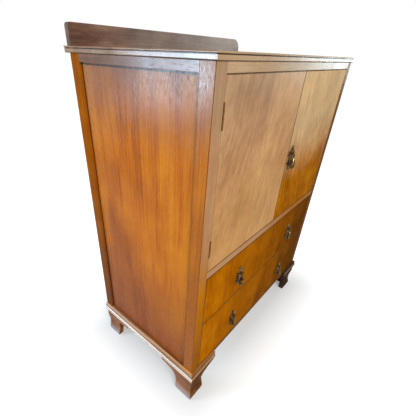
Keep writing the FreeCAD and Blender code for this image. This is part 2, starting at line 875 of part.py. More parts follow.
def make_foot_blocks():
    """Square glue blocks in the angle of each foot, under the carcase and well clear of the floor."""
    across = (left + bracket_thickness, left + bracket_thickness + foot_block)
    front_edge = front + bracket_thickness
    back_edge = back - back_foot_inset - back_bracket_thickness
    up = (foot_block_lift, base)
    spans = {
        "front": (front_edge, front_edge + foot_block),
        "back": (back_edge - foot_block, back_edge),
    }
    blocks = []
    for name, along in spans.items():
        block = board(f"{name}_left_foot_block", across, along, up)
        blocks.extend([block, mirrored(f"{name}_right_foot_block", block)])
    keep(group("foot_blocks", *blocks))


# Hinges ----------------------------------------------------------------------------------------------------

KNUCKLES = 5


def knuckle_span(number):
    """One of the barrel's knuckles on the high hinge, counted from below."""
    pitch = hinge_length / KNUCKLES
    low = hinge_high_low + pitch * number
    return low + knuckle_play, low + pitch - knuckle_play


def hinge_leaf(name, plate_low, plate_high, own):
    """A leaf let into the wood, with its own knuckles and room for the other leaf's."""
    body = new_body(name)
    plate = rectangle(plate_low, plate_high, hinge_axis_y, hinge_leaf_back)
    pad(body, "Z", hinge_high_low, hinge_high_top, plate)
    pitch = hinge_length / KNUCKLES
    relief = Circle(hinge_axis_x, hinge_axis_y, knuckle_relief)
    barrel = Circle(hinge_axis_x, hinge_axis_y, knuckle_radius)
    bore = Circle(hinge_axis_x, hinge_axis_y, hinge_pin_radius + hinge_pin_play)
    for number in range(KNUCKLES):
        if number not in own:
            low = hinge_high_low + pitch * number
            pocket(body, "Z", low, low + pitch, relief)
    for number in own:
        low, high = knuckle_span(number)
        pad(body, "Z", low, high, barrel)
    pocket(body, "Z", hinge_high_low, hinge_high_top, bore)
    return body


def hinge_pin():
    body = new_body("hinge_pin_high")
    low = hinge_high_low - hinge_pin_head
    high = hinge_high_top + hinge_pin_head
    head = knuckle_radius * 0.8
    shank_low = low + hinge_pin_head
    shank_high = high - hinge_pin_head
    outline = [
        Corner(0, low),
        Corner(head, low),
        Corner(head, shank_low),
        Corner(hinge_pin_radius, shank_low),
        Corner(hinge_pin_radius, shank_high),
        Corner(head, shank_high),
        Corner(head, high),
        Corner(0, high),
    ]
    revolve(body, outline)
    place(body, "x", hinge_axis_x)
    place(body, "y", hinge_axis_y)
    return body


def both_hinges(name, high_piece):
    """The piece on the high hinge and its image on the low hinge of the same door."""
    low_piece = mirrored(f"{name}_low", high_piece, "z", hinge_middle)
    return group(name, high_piece, low_piece)


def make_hinges():
    frame_leaf = hinge_leaf("frame_leaf_high", opening_left - hinge_leaf_thickness, opening_left, (0, 2, 4))
    left_frame = both_hinges("left_frame_leaves", frame_leaf)
    keep(group("hinge_frame_leaves", left_frame, mirrored("right_frame_leaves", left_frame)))
    left_pins = both_hinges("left_hinge_pins", hinge_pin())
    keep(group("hinge_pins", left_pins, mirrored("right_hinge_pins", left_pins)))
    door_leaf = hinge_leaf("door_leaf_high", door_left, door_left + hinge_leaf_thickness, (1, 3))
    keep_both("left_door_hinge_leaves", both_hinges("left_door_hinge_leaves", door_leaf))


# Doors -----------------------------------------------------------------------------------------------------

def arris(body):
    """Ease the four edges of a front that show."""
    def shows(edge):
        return on_plane(edge, "Y", front) and edge.Length > value_of(hinge_length) * 2
    round_edges(body, front_arris, shows)


def make_doors():
    across = (door_left, -meeting_gap / 2)
    left_door = board("left_door_board", across, (front, front_inner), (door_low, door_high))
    arris(left_door)
    cut_hinge_seats(left_door, door_left, door_left + hinge_leaf_thickness)
    keep(left_door)
    bore = document.addObject("Part::Cylinder", "catch_bore")
    bore.setExpression("Radius", (catch_radius + catch_play).text)
    bore.setExpression("Height", catch_depth.text)
    place(bore, "x", catch_x)
    place(bore, "y", catch_y)
    place(bore, "z", door_high - catch_depth)
    right_door = document.addObject("Part::Cut", "right_door_board")
    right_door.Label = "right_door_board"
    right_door.Base = mirrored("right_door_blank", left_door)
    right_door.Tool = bore
    keep(right_door)


def make_catch():
    """A ball catch: a barrel sunk in the door's top edge, its ball just proud."""
    body = new_body("right_door_catch")
    crown = catch_ball * 3
    outline = [
        Corner(0, -catch_depth),
        Corner(catch_radius, -catch_depth),
        Corner(catch_radius, 0),
        Corner(crown, 0, catch_ball * 5, LEFT_TURN),
        Corner(0, catch_ball),
    ]
    revolve(body, outline)
    place(body, "x", catch_x)
    place(body, "y", catch_y)
    place(body, "z", door_high)
    keep(body)


bolt_top = lip_low - 2
bolt_low = bolt_top - bolt_length


def make_bolt():
    """A barrel bolt on the left door's inner face: a plate with two staples, and a sliding bar."""
    plate = new_body("left_door_bolt_plate")
    half = bolt_plate_width / 2
    plate_back = front_inner + bolt_plate_thickness
    plate_top = lip_low - 3
    staple_back = bolt_near + bolt_thickness + bolt_play + bolt_plate_thickness
    across = rectangle(bolt_x - half, bolt_x + half, front_inner, plate_back)
    pad(plate, "Z", plate_top - bolt_length - bolt_throw, plate_top, across)
    staple_half = bolt_width / 2 + bolt_play + bolt_plate_thickness
    staple = rectangle(bolt_x - staple_half, bolt_x + staple_half, front_inner, staple_back)
    staple_lows = (plate_top - bolt_staple, bolt_low + bolt_staple)
    for low in staple_lows:
        pad(plate, "Z", low, low + bolt_staple, staple)
        pocket(plate, "Z", low, low + bolt_staple, bolt_hole())
    keep(plate)

    bar = new_body("left_door_bolt")
    half = bolt_width / 2
    section = rectangle(bolt_x - half, bolt_x + half, bolt_near, bolt_near + bolt_thickness)
    pad(bar, "Z", bolt_low, bolt_top, section)
    knob_back = bolt_near + bolt_thickness + bolt_knob_length
    knob_up = bolt_low + bolt_length / 2
    pad(bar, "Y", bolt_near + bolt_thickness / 2, knob_back, Circle(bolt_x, knob_up, bolt_knob_radius))
    keep(bar)


# Drawers ----------------------------------------------------------------------------------------------------

box_outer = opening_left + door_gap
box_inner = box_outer + drawer_side
tail_end = front + drawer_lap
box_back = tail_end + drawer_depth
back_board_face = box_back - drawer_side


def tails(root, end, low, high, count):
    """Dovetails across the thickness of a drawer side, wider at their ends than at the root."""
    pitch = (high - low) / count
    outlines = []
    for number in range(count):
        middle = low + pitch * (number + 0.5)
        half_root = pitch * 0.28
        half_end = half_root + tail_flare
        outlines.append([
            Corner(root, middle - half_root),
            Corner(end, middle - half_end),
            Corner(end, middle + half_end),
            Corner(root, middle + half_root),
        ])
    return outlines


class Drawer:
    """One long drawer: lapped dovetails at the front, through dovetails at the back."""

    def __init__(self, name, low, high, box_low, box_high, tail_count):
        self.name = name
        self.low = low
        self.high = high
        self.box_low = box_low
        self.box_high = box_high
        self.groove_low = box_low + drawer_groove_rise
        self.groove_high = self.groove_low + drawer_bottom
        self.back_high = box_high - drawer_back_drop
        self.bottom_edge = box_inner - drawer_groove_depth
        self.bottom_front = front_inner - drawer_groove_depth
        self.front_tails = tails(front_inner, tail_end, box_low, box_high, tail_count)
        self.back_tails = tails(back_board_face, box_back, self.groove_high, self.back_high, tail_count - 1)

    def make_front(self):
        across = (box_outer, -box_outer)
        body = board(f"{self.name}_front", across, (front, front_inner), (self.low, self.high))
        arris(body)
        for near, far in ((box_outer, box_inner), (-box_inner, -box_outer)):
            pocket(body, "X", near, far, *self.front_tails)
        groove = rectangle(self.bottom_front, front_inner, self.groove_low, self.groove_high)
        pocket(body, "X", self.bottom_edge, -self.bottom_edge, groove)
        keep(body)

    def make_sides(self):
        body = new_body(f"{self.name}_left_side")
        whole = rectangle(front_inner, back_board_face, self.box_low, self.box_high)
        pad(body, "X", box_outer, box_inner, whole)
        pad(body, "X", box_outer, box_inner, *self.front_tails)
        foot = rectangle(back_board_face, box_back, self.box_low, self.groove_high)
        pad(body, "X", box_outer, box_inner, *self.back_tails)
        pad(body, "X", box_outer, box_inner, foot)
        groove = rectangle(self.bottom_edge, box_inner, self.groove_low, self.groove_high)
        pocket(body, "Y", self.bottom_front, box_back, groove)
        keep_both(f"{self.name}_left_side", body)

    def make_back(self):
        across = (box_outer, -box_outer)
        along = (back_board_face, box_back)
        body = board(f"{self.name}_back", across, along, (self.groove_high, self.back_high))
        for near, far in ((box_outer, box_inner), (-box_inner, -box_outer)):
            pocket(body, "X", near, far, *self.back_tails)
        keep(body)

    def make_bottom(self):
        across = (self.bottom_edge, -self.bottom_edge)
        along = (self.bottom_front, box_back)
        keep(board(f"{self.name}_bottom", across, along, (self.groove_low, self.groove_high)))

    def make(self):
        self.make_front()
        self.make_sides()
        self.make_back()
        self.make_bottom()


UPPER_DRAWER = Drawer(
    "upper_drawer",
    base + drawer_split + door_gap / 2,
    mid_bottom - door_gap,
    base + drawer_rail_top + drawer_play,
    mid_bottom - board_thickness - drawer_headroom,
    4,
)
LOWER_DRAWER = Drawer(
    "lower_drawer",
    base + bottom_rail_height + door_gap,
    base + drawer_split - door_gap / 2,
    base + bottom_rail_height + drawer_play,
    base + drawer_rail_top - drawer_rail_height - drawer_headroom,
    5,
)


# Handles: a pierced cartouche plate with two lugs, and a turned drop that swings between them ---------------

pivot_y = front - pivot_reach
lug_outer = lug_gap / 2 + lug_thickness


def cartouche():
    """The right half of the plate's outline from foot to crest, then the left half back down."""
    wide = plate_width / 2
    tall = plate_height / 2
    arcs = [
        (0, -1, 0.70, LEFT_TURN),
        (0.48, -0.76, 0.42, RIGHT_TURN),
        (0.78, -0.52, 0.50, LEFT_TURN),
        (0.80, -0.10, 0.36, RIGHT_TURN),
        (1, 0.22, 0.62, LEFT_TURN),
        (0.62, 0.62, 0.40, RIGHT_TURN),
        (0.34, 0.80, 0.42, LEFT_TURN),
    ]
    right = [Corner(wide * a, tall * u, wide * radius, turn) for a, u, radius, turn in arcs]
    crest = Corner(0, tall, right[-1].radius, right[-1].turn)
    left_half = []
    for corner, before in zip(reversed(right[1:]), reversed(right[:-1])):
        left_half.append(Corner(-corner.across, corner.up, before.radius, before.turn))
    return right + [crest] + left_half


def piercings():
    wide = plate_width / 2
    tall = plate_height / 2
    hole = plate_width * 0.07
    spots = [(-0.5, 0.3), (0.5, 0.3), (-0.42, -0.3), (0.42, -0.3), (0, 0.76)]
    return [Circle(wide * a, tall * u, hole) for a, u in spots]


def handle_plate(name, across, up):
    body = new_body(name)
    pad(body, "Y", front - plate_thickness, front, cartouche())
    pocket(body, "Y", front - plate_thickness, front, *piercings())
    lug = [
        Corner(pivot_y, pivot_rise - lug_radius),
        Corner(front, pivot_rise - lug_radius),
        Corner(front, pivot_rise + lug_radius),
        Corner(pivot_y, pivot_rise + lug_radius, lug_radius, LEFT_TURN),
        Corner(pivot_y - lug_radius, pivot_rise, lug_radius, LEFT_TURN),
    ]
    pad(body, "X", lug_gap / 2, lug_outer, lug)
    pad(body, "X", -lug_outer, -lug_gap / 2, lug)
    pad(body, "X", -lug_outer, lug_outer, Circle(pivot_y, pivot_rise, pivot_radius))
    place(body, "x", across)
    place(body, "z", up)
    return body


def handle_drop(name, across, up):
    """An eye on the pivot, a neck with a collar, and a long tear-shaped bulb with a bud at its tip."""
    body = new_body(name)
    eye = lug_radius
    collar_up = -drop_length * 0.16
    throat_up = -drop_length * 0.24
    belly_up = -drop_length * 0.72
    bud_up = -drop_length * 0.93
    turning = [
        Corner(0, -drop_length),
        Corner(drop_neck, bud_up - drop_neck),
        Corner(drop_neck, bud_up),
        Corner(drop_radius * 0.45, bud_up + drop_neck, drop_radius * 1.35, LEFT_TURN),
        Corner(drop_radius, belly_up, drop_length * 0.99, LEFT_TURN),
        Corner(drop_neck, throat_up),
        Corner(drop_collar, collar_up - drop_neck / 2),
        Corner(drop_collar, collar_up + drop_neck / 2),
        Corner(drop_neck, collar_up + drop_neck),
        Corner(drop_neck, -eye * 0.7),
        Corner(0, -eye * 0.7),
    ]
    revolve(body, turning)
    half = lug_gap / 2 - pivot_play * 2
    pad(body, "X", -half, half, Circle(0, 0, eye))
    pocket(body, "X", -half, half, Circle(0, 0, pivot_radius + pivot_play))
    place(body, "x", across)
    place(body, "y", pivot_y)
    place(body, "z", up + pivot_rise)
    return body


def make_handles():
    door_up = base + door_handle_height
    keep(handle_plate("right_door_handle_plate", door_handle_inset, door_up))
    keep(handle_drop("right_door_drop", door_handle_inset, door_up))
    for level, height in (("upper", upper_handle_height), ("lower", lower_handle_height)):
        up = base + height
        plates = []
        for side, across in (("left", -handle_spread), ("right", handle_spread)):
            plates.append(handle_plate(f"{level}_{side}_plate", across, up))
            keep(handle_drop(f"{level}_{side}_drop", across, up))
        keep(group(f"{level}_drawer_handle_plates", *plates))


# Build, check and write ----------------------------------------------------------------------------

def make_all():
    make_top_board()
    make_gallery()
    make_front_post()
    make_back_post()
    make_sides()
    make_front_rails()
    make_strikes()
    make_inner_boards()
    make_drawer_tracks()
    make_back()
    make_mouldings()
    make_front_foot()
    make_back_foot()
    make_foot_blocks()
    make_hinges()
    make_doors()
    make_catch()
    make_bolt()
    UPPER_DRAWER.make()
    LOWER_DRAWER.make()
    make_handles()
    document.recompute()


def check_all():
    """Every object has rebuilt, every pocket has cut something and every sub-part is sound."""
    faults = []
    for thing in document.Objects:
        if "Invalid" in thing.State or "Error" in thing.State:
            faults.append(f"{thing.Label}: {thing.State}")
        if thing.TypeId == "PartDesign::Pocket":
            removed = thing.BaseFeature.Shape.Volume - thing.Shape.Volume
            if removed < 0.5:
                faults.append(f"{thing.Label}: cuts {removed:.3f}")
    for thing in sub_parts:
        if thing.Shape.isNull() or not thing.Shape.isValid():
            faults.append(f"{thing.Label}: no valid shape")
    if faults:
        raise RuntimeError("; ".join(faults))


def write_all():
    os.makedirs("parts", exist_ok=True)
    whole = FreeCAD.BoundBox()
    for thing in sub_parts:
        thing.Shape.exportStep(f"parts/{thing.Label}.step")
        whole.add(thing.Shape.BoundBox)
        print(f"{thing.Label:30} {len(thing.Shape.Solids)} solids {thing.Shape.Volume / 1000:9.1f} cm3")
    print(len(sub_parts), "sub-parts")
    print(f"{whole.XLength:.1f} x {whole.YLength:.1f} x {whole.ZLength:.1f} mm")
    print(f"front {whole.YMin:.2f}, back {whole.YMax:.2f}, floor {whole.ZMin:.2f}")


make_all()
check_all()
write_all()
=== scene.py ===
# %% [markdown]
# # A polished mahogany chifforobe
#
# This notebook dresses a cupboard over two drawers. The construction model gives every board,
# rail, hinge and handle at its true size. Here they get their woods, polish and metals, and the
# small fittings that the construction model leaves out.

import math
from collections import namedtuple

import bpy
from mathutils import Matrix, Vector


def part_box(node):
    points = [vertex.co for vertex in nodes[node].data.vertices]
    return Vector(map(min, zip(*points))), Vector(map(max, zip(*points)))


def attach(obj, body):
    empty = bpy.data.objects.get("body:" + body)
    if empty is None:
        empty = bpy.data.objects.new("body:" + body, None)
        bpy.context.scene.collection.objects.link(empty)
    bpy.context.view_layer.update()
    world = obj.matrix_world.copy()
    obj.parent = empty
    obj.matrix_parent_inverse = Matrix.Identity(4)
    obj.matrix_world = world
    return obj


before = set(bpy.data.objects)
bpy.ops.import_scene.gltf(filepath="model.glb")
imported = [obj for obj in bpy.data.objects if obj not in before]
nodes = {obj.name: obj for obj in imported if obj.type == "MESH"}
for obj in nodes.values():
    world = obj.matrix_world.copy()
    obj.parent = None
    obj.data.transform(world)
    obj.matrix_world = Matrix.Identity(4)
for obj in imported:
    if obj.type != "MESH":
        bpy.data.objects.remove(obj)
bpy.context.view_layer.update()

# %% [markdown]
# ## The camera
#
# The cupboard is seen from its front left corner, from just below the level of its top, through a
# wide lens. A camera could be aimed with a Track To constraint, but a slight roll is easier to
# give as three directions: where it looks, what is right and what is up. These are the columns of
# its rotation.

# %% Camera
YAW = math.radians(49.93)
PITCH = math.radians(31.13)
ROLL = math.radians(2.29)
SENSOR_WIDTH = 36
LENS = 24.39
SHIFT = (0.0563, 0.0368)
STAND = (-0.9486, -0.6081, 1.1806)


def add_camera():
    level = math.cos(PITCH)
    ahead = Vector((math.sin(YAW) * level, math.cos(YAW) * level, -math.sin(PITCH)))
    level_right = Vector((math.cos(YAW), -math.sin(YAW), 0))
    level_up = level_right.cross(ahead)
    right = math.cos(ROLL) * level_right + math.sin(ROLL) * level_up
    up = right.cross(ahead)
    data = bpy.data.cameras.new("camera")
    data.sensor_width = SENSOR_WIDTH
    data.lens = LENS
    data.shift_x, data.shift_y = SHIFT
    camera = bpy.data.objects.new("camera", data)
    bpy.context.collection.objects.link(camera)
    turn = Matrix((right, up, -ahead)).transposed().to_4x4()
    camera.matrix_world = Matrix.Translation(STAND) @ turn
    bpy.context.scene.camera = camera
    return camera


print("camera at", add_camera().location)

# %% [markdown]
# ## Colours
#
# Blender mixes light in linear numbers, while colours are easiest to name as they look on a
# screen, from 0 to 255. One small function undoes the curve of a screen and turns the second kind
# into the first.


# %% Screen colours
def screen(red, green, blue):
    """A colour named by its look on a screen, in the linear numbers that shaders use."""
    def linear(value):
        part = value / 255
        return part / 12.92 if part <= 0.04045 else ((part + 0.055) / 1.055) ** 2.4
    return (linear(red), linear(green), linear(blue), 1)


print("middle grey is", screen(128, 128, 128))

# %% [markdown]
# ## Building materials from nodes
#
# A material is a small network. Placing nodes by hand in the shader editor is one way; a notebook
# needs the same steps as short calls. The class below adds a node, sets its plain values and joins
# its inputs, for a material or for a group alike. Most patterns here are layers of noise, so a
# layer keeps its values under one name: scale, detail, roughness, the two values of the noise that
# count as its ends, and how the layer is squeezed along each axis.

# %% A helper for node networks
Layer = namedtuple("Layer", "scale detail roughness low high squeeze", defaults=(None,))


class Network:
    """Adds nodes to one node tree. An input is given a value, or the output that feeds it."""

    def __init__(self, tree):
        self.tree = tree

    def add(self, kind, inputs=None, **settings):
        node = self.tree.nodes.new(kind)
        for name, value in settings.items():
            setattr(node, name, value)
        for key, value in (inputs or {}).items():
            self.feed(node.inputs[key], value)
        return node

    def feed(self, socket, value):
        if isinstance(value, bpy.types.NodeSocket):
            self.tree.links.new(value, socket)
        else:
            socket.default_value = value

    def math(self, operation, first, second=0.0, clamp=False):
        node = self.add("ShaderNodeMath", {0: first, 1: second}, operation=operation, use_clamp=clamp)
        return node.outputs[0]

    def vector(self, operation, first, second):
        node = self.add("ShaderNodeVectorMath", {0: first, 1: second}, operation=operation)
        return node.outputs["Value" if operation == "DOT_PRODUCT" else "Vector"]

    def scaled(self, vector, factor):
        inputs = {0: vector, "Scale": factor}
        return self.add("ShaderNodeVectorMath", inputs, operation="SCALE").outputs["Vector"]

    def noise(self, place, scale, detail=2.0, roughness=0.5):
        inputs = {"Vector": place, "Scale": scale, "Detail": detail, "Roughness": roughness}
        return self.add("ShaderNodeTexNoise", inputs).outputs["Fac"]

    def ramp(self, value, low, high, to_low=0.0, to_high=1.0):
        inputs = {"Value": value, "From Min": low, "From Max": high, "To Min": to_low, "To Max": to_high}
        return self.add("ShaderNodeMapRange", inputs).outputs["Result"]

    def layer(self, place, layer, to_low=0.0, to_high=1.0):
        """One layer of noise, between two values."""
        spot = self.vector("MULTIPLY", place, layer.squeeze) if layer.squeeze else place
        noise = self.noise(spot, layer.scale, layer.detail, layer.roughness)
        return self.ramp(noise, layer.low, layer.high, to_low, to_high)

    def mix(self, share, first, second, blend="MIX"):
        node = self.add("ShaderNodeMix", data_type="RGBA", blend_type=blend)
        self.feed(node.inputs[0], share)
        self.feed(node.inputs[6], first)
        self.feed(node.inputs[7], second)
        return node.outputs[2]


def new_group(name, inputs, outputs):
    """A shader node group with named sockets: its network, its input node and its output node."""
    group = bpy.data.node_groups.new(name, "ShaderNodeTree")
    for label, kind, value in inputs:
        socket = group.interface.new_socket(label, in_out="INPUT", socket_type=f"NodeSocket{kind}")
        if value is not None:
            socket.default_value = value
    for label, kind in outputs:
        group.interface.new_socket(label, in_out="OUTPUT", socket_type=f"NodeSocket{kind}")
    net = Network(group)
    return group, net, net.add("NodeGroupInput").outputs, net.add("NodeGroupOutput").inputs


def new_material(name):
    """An empty material and its network."""
    material = bpy.data.materials.new(name)
    material.use_nodes = True
    material.node_tree.nodes.clear()
    return material, Network(material.node_tree)


# %% [markdown]
# ## Grain
#
# Mahogany shows broad soft bands along the board, fine streaks inside them, a fine mottle, cloudy
# patches, short dark pores, and a shimmer across the grain where the fibres lean. A picture of wood
# would repeat and would stretch at the edges of a board. Noise that is squeezed along the grain has
# neither fault, because it fills the whole of space, so the end of a board is cut from the same
# wood as its face. The layers add up to one tone, which picks a colour between three.

# %% The grain group
BANDS = Layer(16.0, 3.0, 0.55, 0.32, 0.68, (1.0, 1.0, 0.045))
STREAKS = Layer(210.0, 3.0, 0.65, 0.3, 0.7, (1.0, 1.0, 0.02))
MOTTLE = Layer(75.0, 3.0, 0.6, 0.3, 0.7, (1.0, 1.0, 0.35))
CLOUDS = Layer(14.0, 3.0, 0.5, 0.35, 0.65, (1.0, 1.0, 0.2))
SHIMMER = Layer(9.0, 2.0, 0.5, 0.3, 0.7, (0.5, 0.5, 1.0))
PORES = Layer(900.0, 2.0, 0.6, 0.62, 0.74, (1.0, 1.0, 0.05))
DRIFT_SCALE = 2.3
MIDDLE_TONE = 0.5
PORE_DARKNESS = 0.75
STREAK_HEIGHT = 0.3


def make_grain_group():
    group, net, given, result = new_group(
        "wood_grain",
        [
            ("Vector", "Vector", None),
            ("Dark", "Color", (0.1, 0.05, 0.02, 1)),
            ("Middle", "Color", (0.3, 0.12, 0.04, 1)),
            ("Pale", "Color", (0.5, 0.25, 0.1, 1)),
            ("Bands", "Float", BANDS.scale),
            ("Figure", "Float", 0.7),
            ("Mottle", "Float", 0.1),
            ("Streaks", "Float", 0.5),
            ("Pores", "Float", 0.5),
            ("Shimmer", "Float", 0.3),
            ("Clouds", "Float", 0.2),
            ("Wander", "Float", 0.02),
        ],
        [("Color", "Color"), ("Tone", "Float"), ("Height", "Float")],
    )
    inputs = {"Vector": given["Vector"], "Scale": DRIFT_SCALE, "Detail": 2.0}
    drift = net.add("ShaderNodeTexNoise", inputs).outputs["Color"]
    wander = net.scaled(net.vector("SUBTRACT", drift, (0.5, 0.5, 0.5)), given["Wander"])
    bent = net.vector("ADD", given["Vector"], wander)
    bands = net.layer(bent, BANDS._replace(scale=given["Bands"]), -0.5, 0.5)
    streaks = net.layer(bent, STREAKS, -0.5, 0.5)
    mottle = net.layer(bent, MOTTLE, -0.5, 0.5)
    clouds = net.layer(bent, CLOUDS, -0.5, 0.5)
    shimmer = net.layer(bent, SHIMMER, -0.5, 0.5)
    tone = net.math("ADD", net.math("MULTIPLY", bands, given["Figure"]), MIDDLE_TONE)
    tone = net.math("ADD", tone, net.math("MULTIPLY", streaks, given["Streaks"]))
    tone = net.math("ADD", tone, net.math("MULTIPLY", mottle, given["Mottle"]))
    tone = net.math("ADD", tone, net.math("MULTIPLY", clouds, given["Clouds"]))
    tone = net.math("ADD", tone, net.math("MULTIPLY", shimmer, given["Shimmer"]), clamp=True)
    lower = net.mix(net.ramp(tone, 0.0, MIDDLE_TONE), given["Dark"], given["Middle"])
    wood = net.mix(net.ramp(tone, MIDDLE_TONE, 1.0), lower, given["Pale"])
    pore = net.math("MULTIPLY", net.layer(bent, PORES), given["Pores"])
    pore_color = net.mix(PORE_DARKNESS, wood, given["Dark"], "MULTIPLY")
    net.feed(result["Color"], net.mix(pore, wood, pore_color))
    net.feed(result["Tone"], net.math("SUBTRACT", tone, pore, clamp=True))
    ridges = net.math("MULTIPLY", streaks, STREAK_HEIGHT)
    net.feed(result["Height"], net.math("SUBTRACT", ridges, pore))
    return group


grain_group = make_grain_group()
print("grain group with", len(grain_group.nodes), "nodes")

# %% [markdown]
# ## Polish and wear
#
# Shellac polish is thin and hand-rubbed: a mirror with slow waves in it, a faint orange peel, and
# patches rubbed dull by hands and cloths. Corners that are knocked lose their colour. A bevel
# lookup finds the corners: where the rounded normal leaves the true one, the surface is an edge.

# %% The polish group
KNOCKS = Layer(38.0, 4.0, 0.65, 0.45, 0.62)
HANDS = Layer(5.5, 4.0, 0.6, 0.42, 0.7)
SPECKS = Layer(420.0, 2.0, 0.7, 0.4, 0.62, (1.0, 1.0, 0.15))
DIRT = Layer(3.0, 3.0, 0.6, 0.4, 0.75)
EDGE_TURN = (0.01, 0.12)
WAVE_SCALE = 9.0
PEEL_SCALE = 420.0
PEEL_HEIGHT = 0.035


def make_polish_group():
    group, net, given, result = new_group(
        "polish",
        [
            ("Vector", "Vector", None),
            ("Rounded", "Vector", None),
            ("True", "Vector", None),
            ("Roughness", "Float", 0.2),
            ("Dullness", "Float", 0.12),
            ("Speckle", "Float", 0.0),
            ("Wear", "Float", 0.5),
        ],
        [("Roughness", "Float"), ("Edge", "Float"), ("Dirt", "Float"), ("Height", "Float")],
    )
    place = given["Vector"]
    agreement = net.vector("DOT_PRODUCT", given["Rounded"], given["True"])
    turned = net.math("SUBTRACT", 1.0, agreement)
    worn = net.math("MULTIPLY", net.ramp(turned, *EDGE_TURN), net.layer(place, KNOCKS))
    net.feed(result["Edge"], net.math("MULTIPLY", worn, given["Wear"], clamp=True))
    rubbed = net.math("MULTIPLY", net.layer(place, HANDS), given["Dullness"])
    speckled = net.math("MULTIPLY", net.layer(place, SPECKS), given["Speckle"])
    rough = net.math("ADD", given["Roughness"], net.math("ADD", rubbed, speckled), clamp=True)
    net.feed(result["Roughness"], rough)
    net.feed(result["Dirt"], net.layer(place, DIRT))
    peel = net.math("MULTIPLY", net.noise(place, PEEL_SCALE, detail=1.0), PEEL_HEIGHT)
    net.feed(result["Height"], net.math("ADD", net.noise(place, WAVE_SCALE, detail=1.0), peel))
    return group


polish_group = make_polish_group()
print("polish group with", len(polish_group.nodes), "nodes")

# %% [markdown]
# ## Fades and seams
#
# A fade tints a board from one place to another, and the grain still shows through it, a little
# lighter and darker. Many fades here are painted light: painted shade, painted highlights and painted
# reflections laid into the colour; others are the wood's own colour. A seam is a thin line along one
# place. Most seams are painted shade in the gaps and recesses where pieces meet, one is a dark joint
# of old polish, and a few lie in painted highlights. Both are read from the place on the object. They
# could be painted as a picture instead, but then they would not stay sharp close to. Each may lie on
# all faces, on the front only, or on all but the front.

# %% A helper for fades and seams
# Painted shade for the gaps and recesses between pieces.
GAP_SHADE = screen(34, 16, 6)
OLD_POLISH = screen(96, 48, 12)
SHOW_THROUGH = 0.34
WAVER_SHARE = 0.7
SEAM_CORE = 0.4
SEAM_DARKNESS = 0.85
# Width of the painted shade in the gaps round the doors.
DOOR_GAP_SHADE_WIDTH = 0.0026
Fade = namedtuple("Fade", "axis start end color share where", defaults=("all",))
Seam = namedtuple("Seam", "axis at width color where", defaults=(GAP_SHADE, "all"))


def fade_and_seam(net, color, tone, place, on_front, fades, seams):
    """Tint a colour along the object's axes. The bounds of a fade waver, and a seam is straight."""
    shown = net.math("ADD", 1.0 - SHOW_THROUGH / 2, net.math("MULTIPLY", tone, SHOW_THROUGH))
    waver = net.math("SUBTRACT", net.noise(place, scale=7.0, detail=3.0, roughness=0.55), 0.5)
    parts = net.add("ShaderNodeSeparateXYZ", {0: place}).outputs
    axes = {"x": parts[0], "y": parts[1], "z": parts[2]}
    faces = {"all": 1.0, "front": on_front, "round": net.math("SUBTRACT", 1.0, on_front)}
    for fade in fades:
        stray = net.math("MULTIPLY", waver, (fade.end - fade.start) * WAVER_SHARE)
        spot = net.math("ADD", axes[fade.axis], stray)
        share = net.ramp(spot, fade.start, fade.end, 0.0, fade.share)
        tint = net.scaled(fade.color[:3], shown)
        color = net.mix(net.math("MULTIPLY", share, faces[fade.where]), color, tint)
    for seam in seams:
        off = net.math("ABSOLUTE", net.math("SUBTRACT", axes[seam.axis], seam.at))
        share = net.ramp(off, seam.width, seam.width * SEAM_CORE, 0.0, SEAM_DARKNESS)
        color = net.mix(net.math("MULTIPLY", share, faces[seam.where]), color, seam.color)
    return color


def edge_shade_lines(name, sides, width):
    """Painted gap shade along the named sides of a front: l and r across, b and t up and down."""
    low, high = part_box(name)
    places = {"l": ("x", low[0]), "r": ("x", high[0]), "b": ("z", low[2]), "t": ("z", high[2])}
    return [Seam(*places[side], width, GAP_SHADE, "front") for side in sides]


print("seam over the left door", edge_shade_lines("left_door_board", "t", DOOR_GAP_SHADE_WIDTH)[0])

# %% [markdown]
# ## Woods
#
# Every board is turned so that its own grain runs along the third axis of the pattern, and is
# shifted to its own place in it, so no two boards match. The same function makes them all: three
# tones of the wood, how bold its figure is, and how bright its polish. Two Bump nodes in a row
# carry the fibres and the slow waves of the polish. A veneered front has tones of its own, and on
# some boards it mirrors less than the sides. Such a board gets two shaders, mixed by the way a face
# looks.

# %% The wood material
TURNS = {"x": (0, math.radians(90), 0), "y": (math.radians(90), 0, 0), "z": (0, 0, 0)}
FRONTWARD = (0.0, -1.0, 0.0)
FRONT_RANGE = (0.6, 0.8)
ARRIS_RADIUS = 0.0012
BEVEL_SAMPLES = 4
FIBRE_DEPTH = 0.00025
WAVE_DEPTH = 0.0016
WAVE_STRENGTH = 0.25
BARE_WOOD = screen(205, 160, 110)
BARE_SHARE = 0.5
DIRT_SHARE = 0.22
SHELLAC_IOR = 1.48


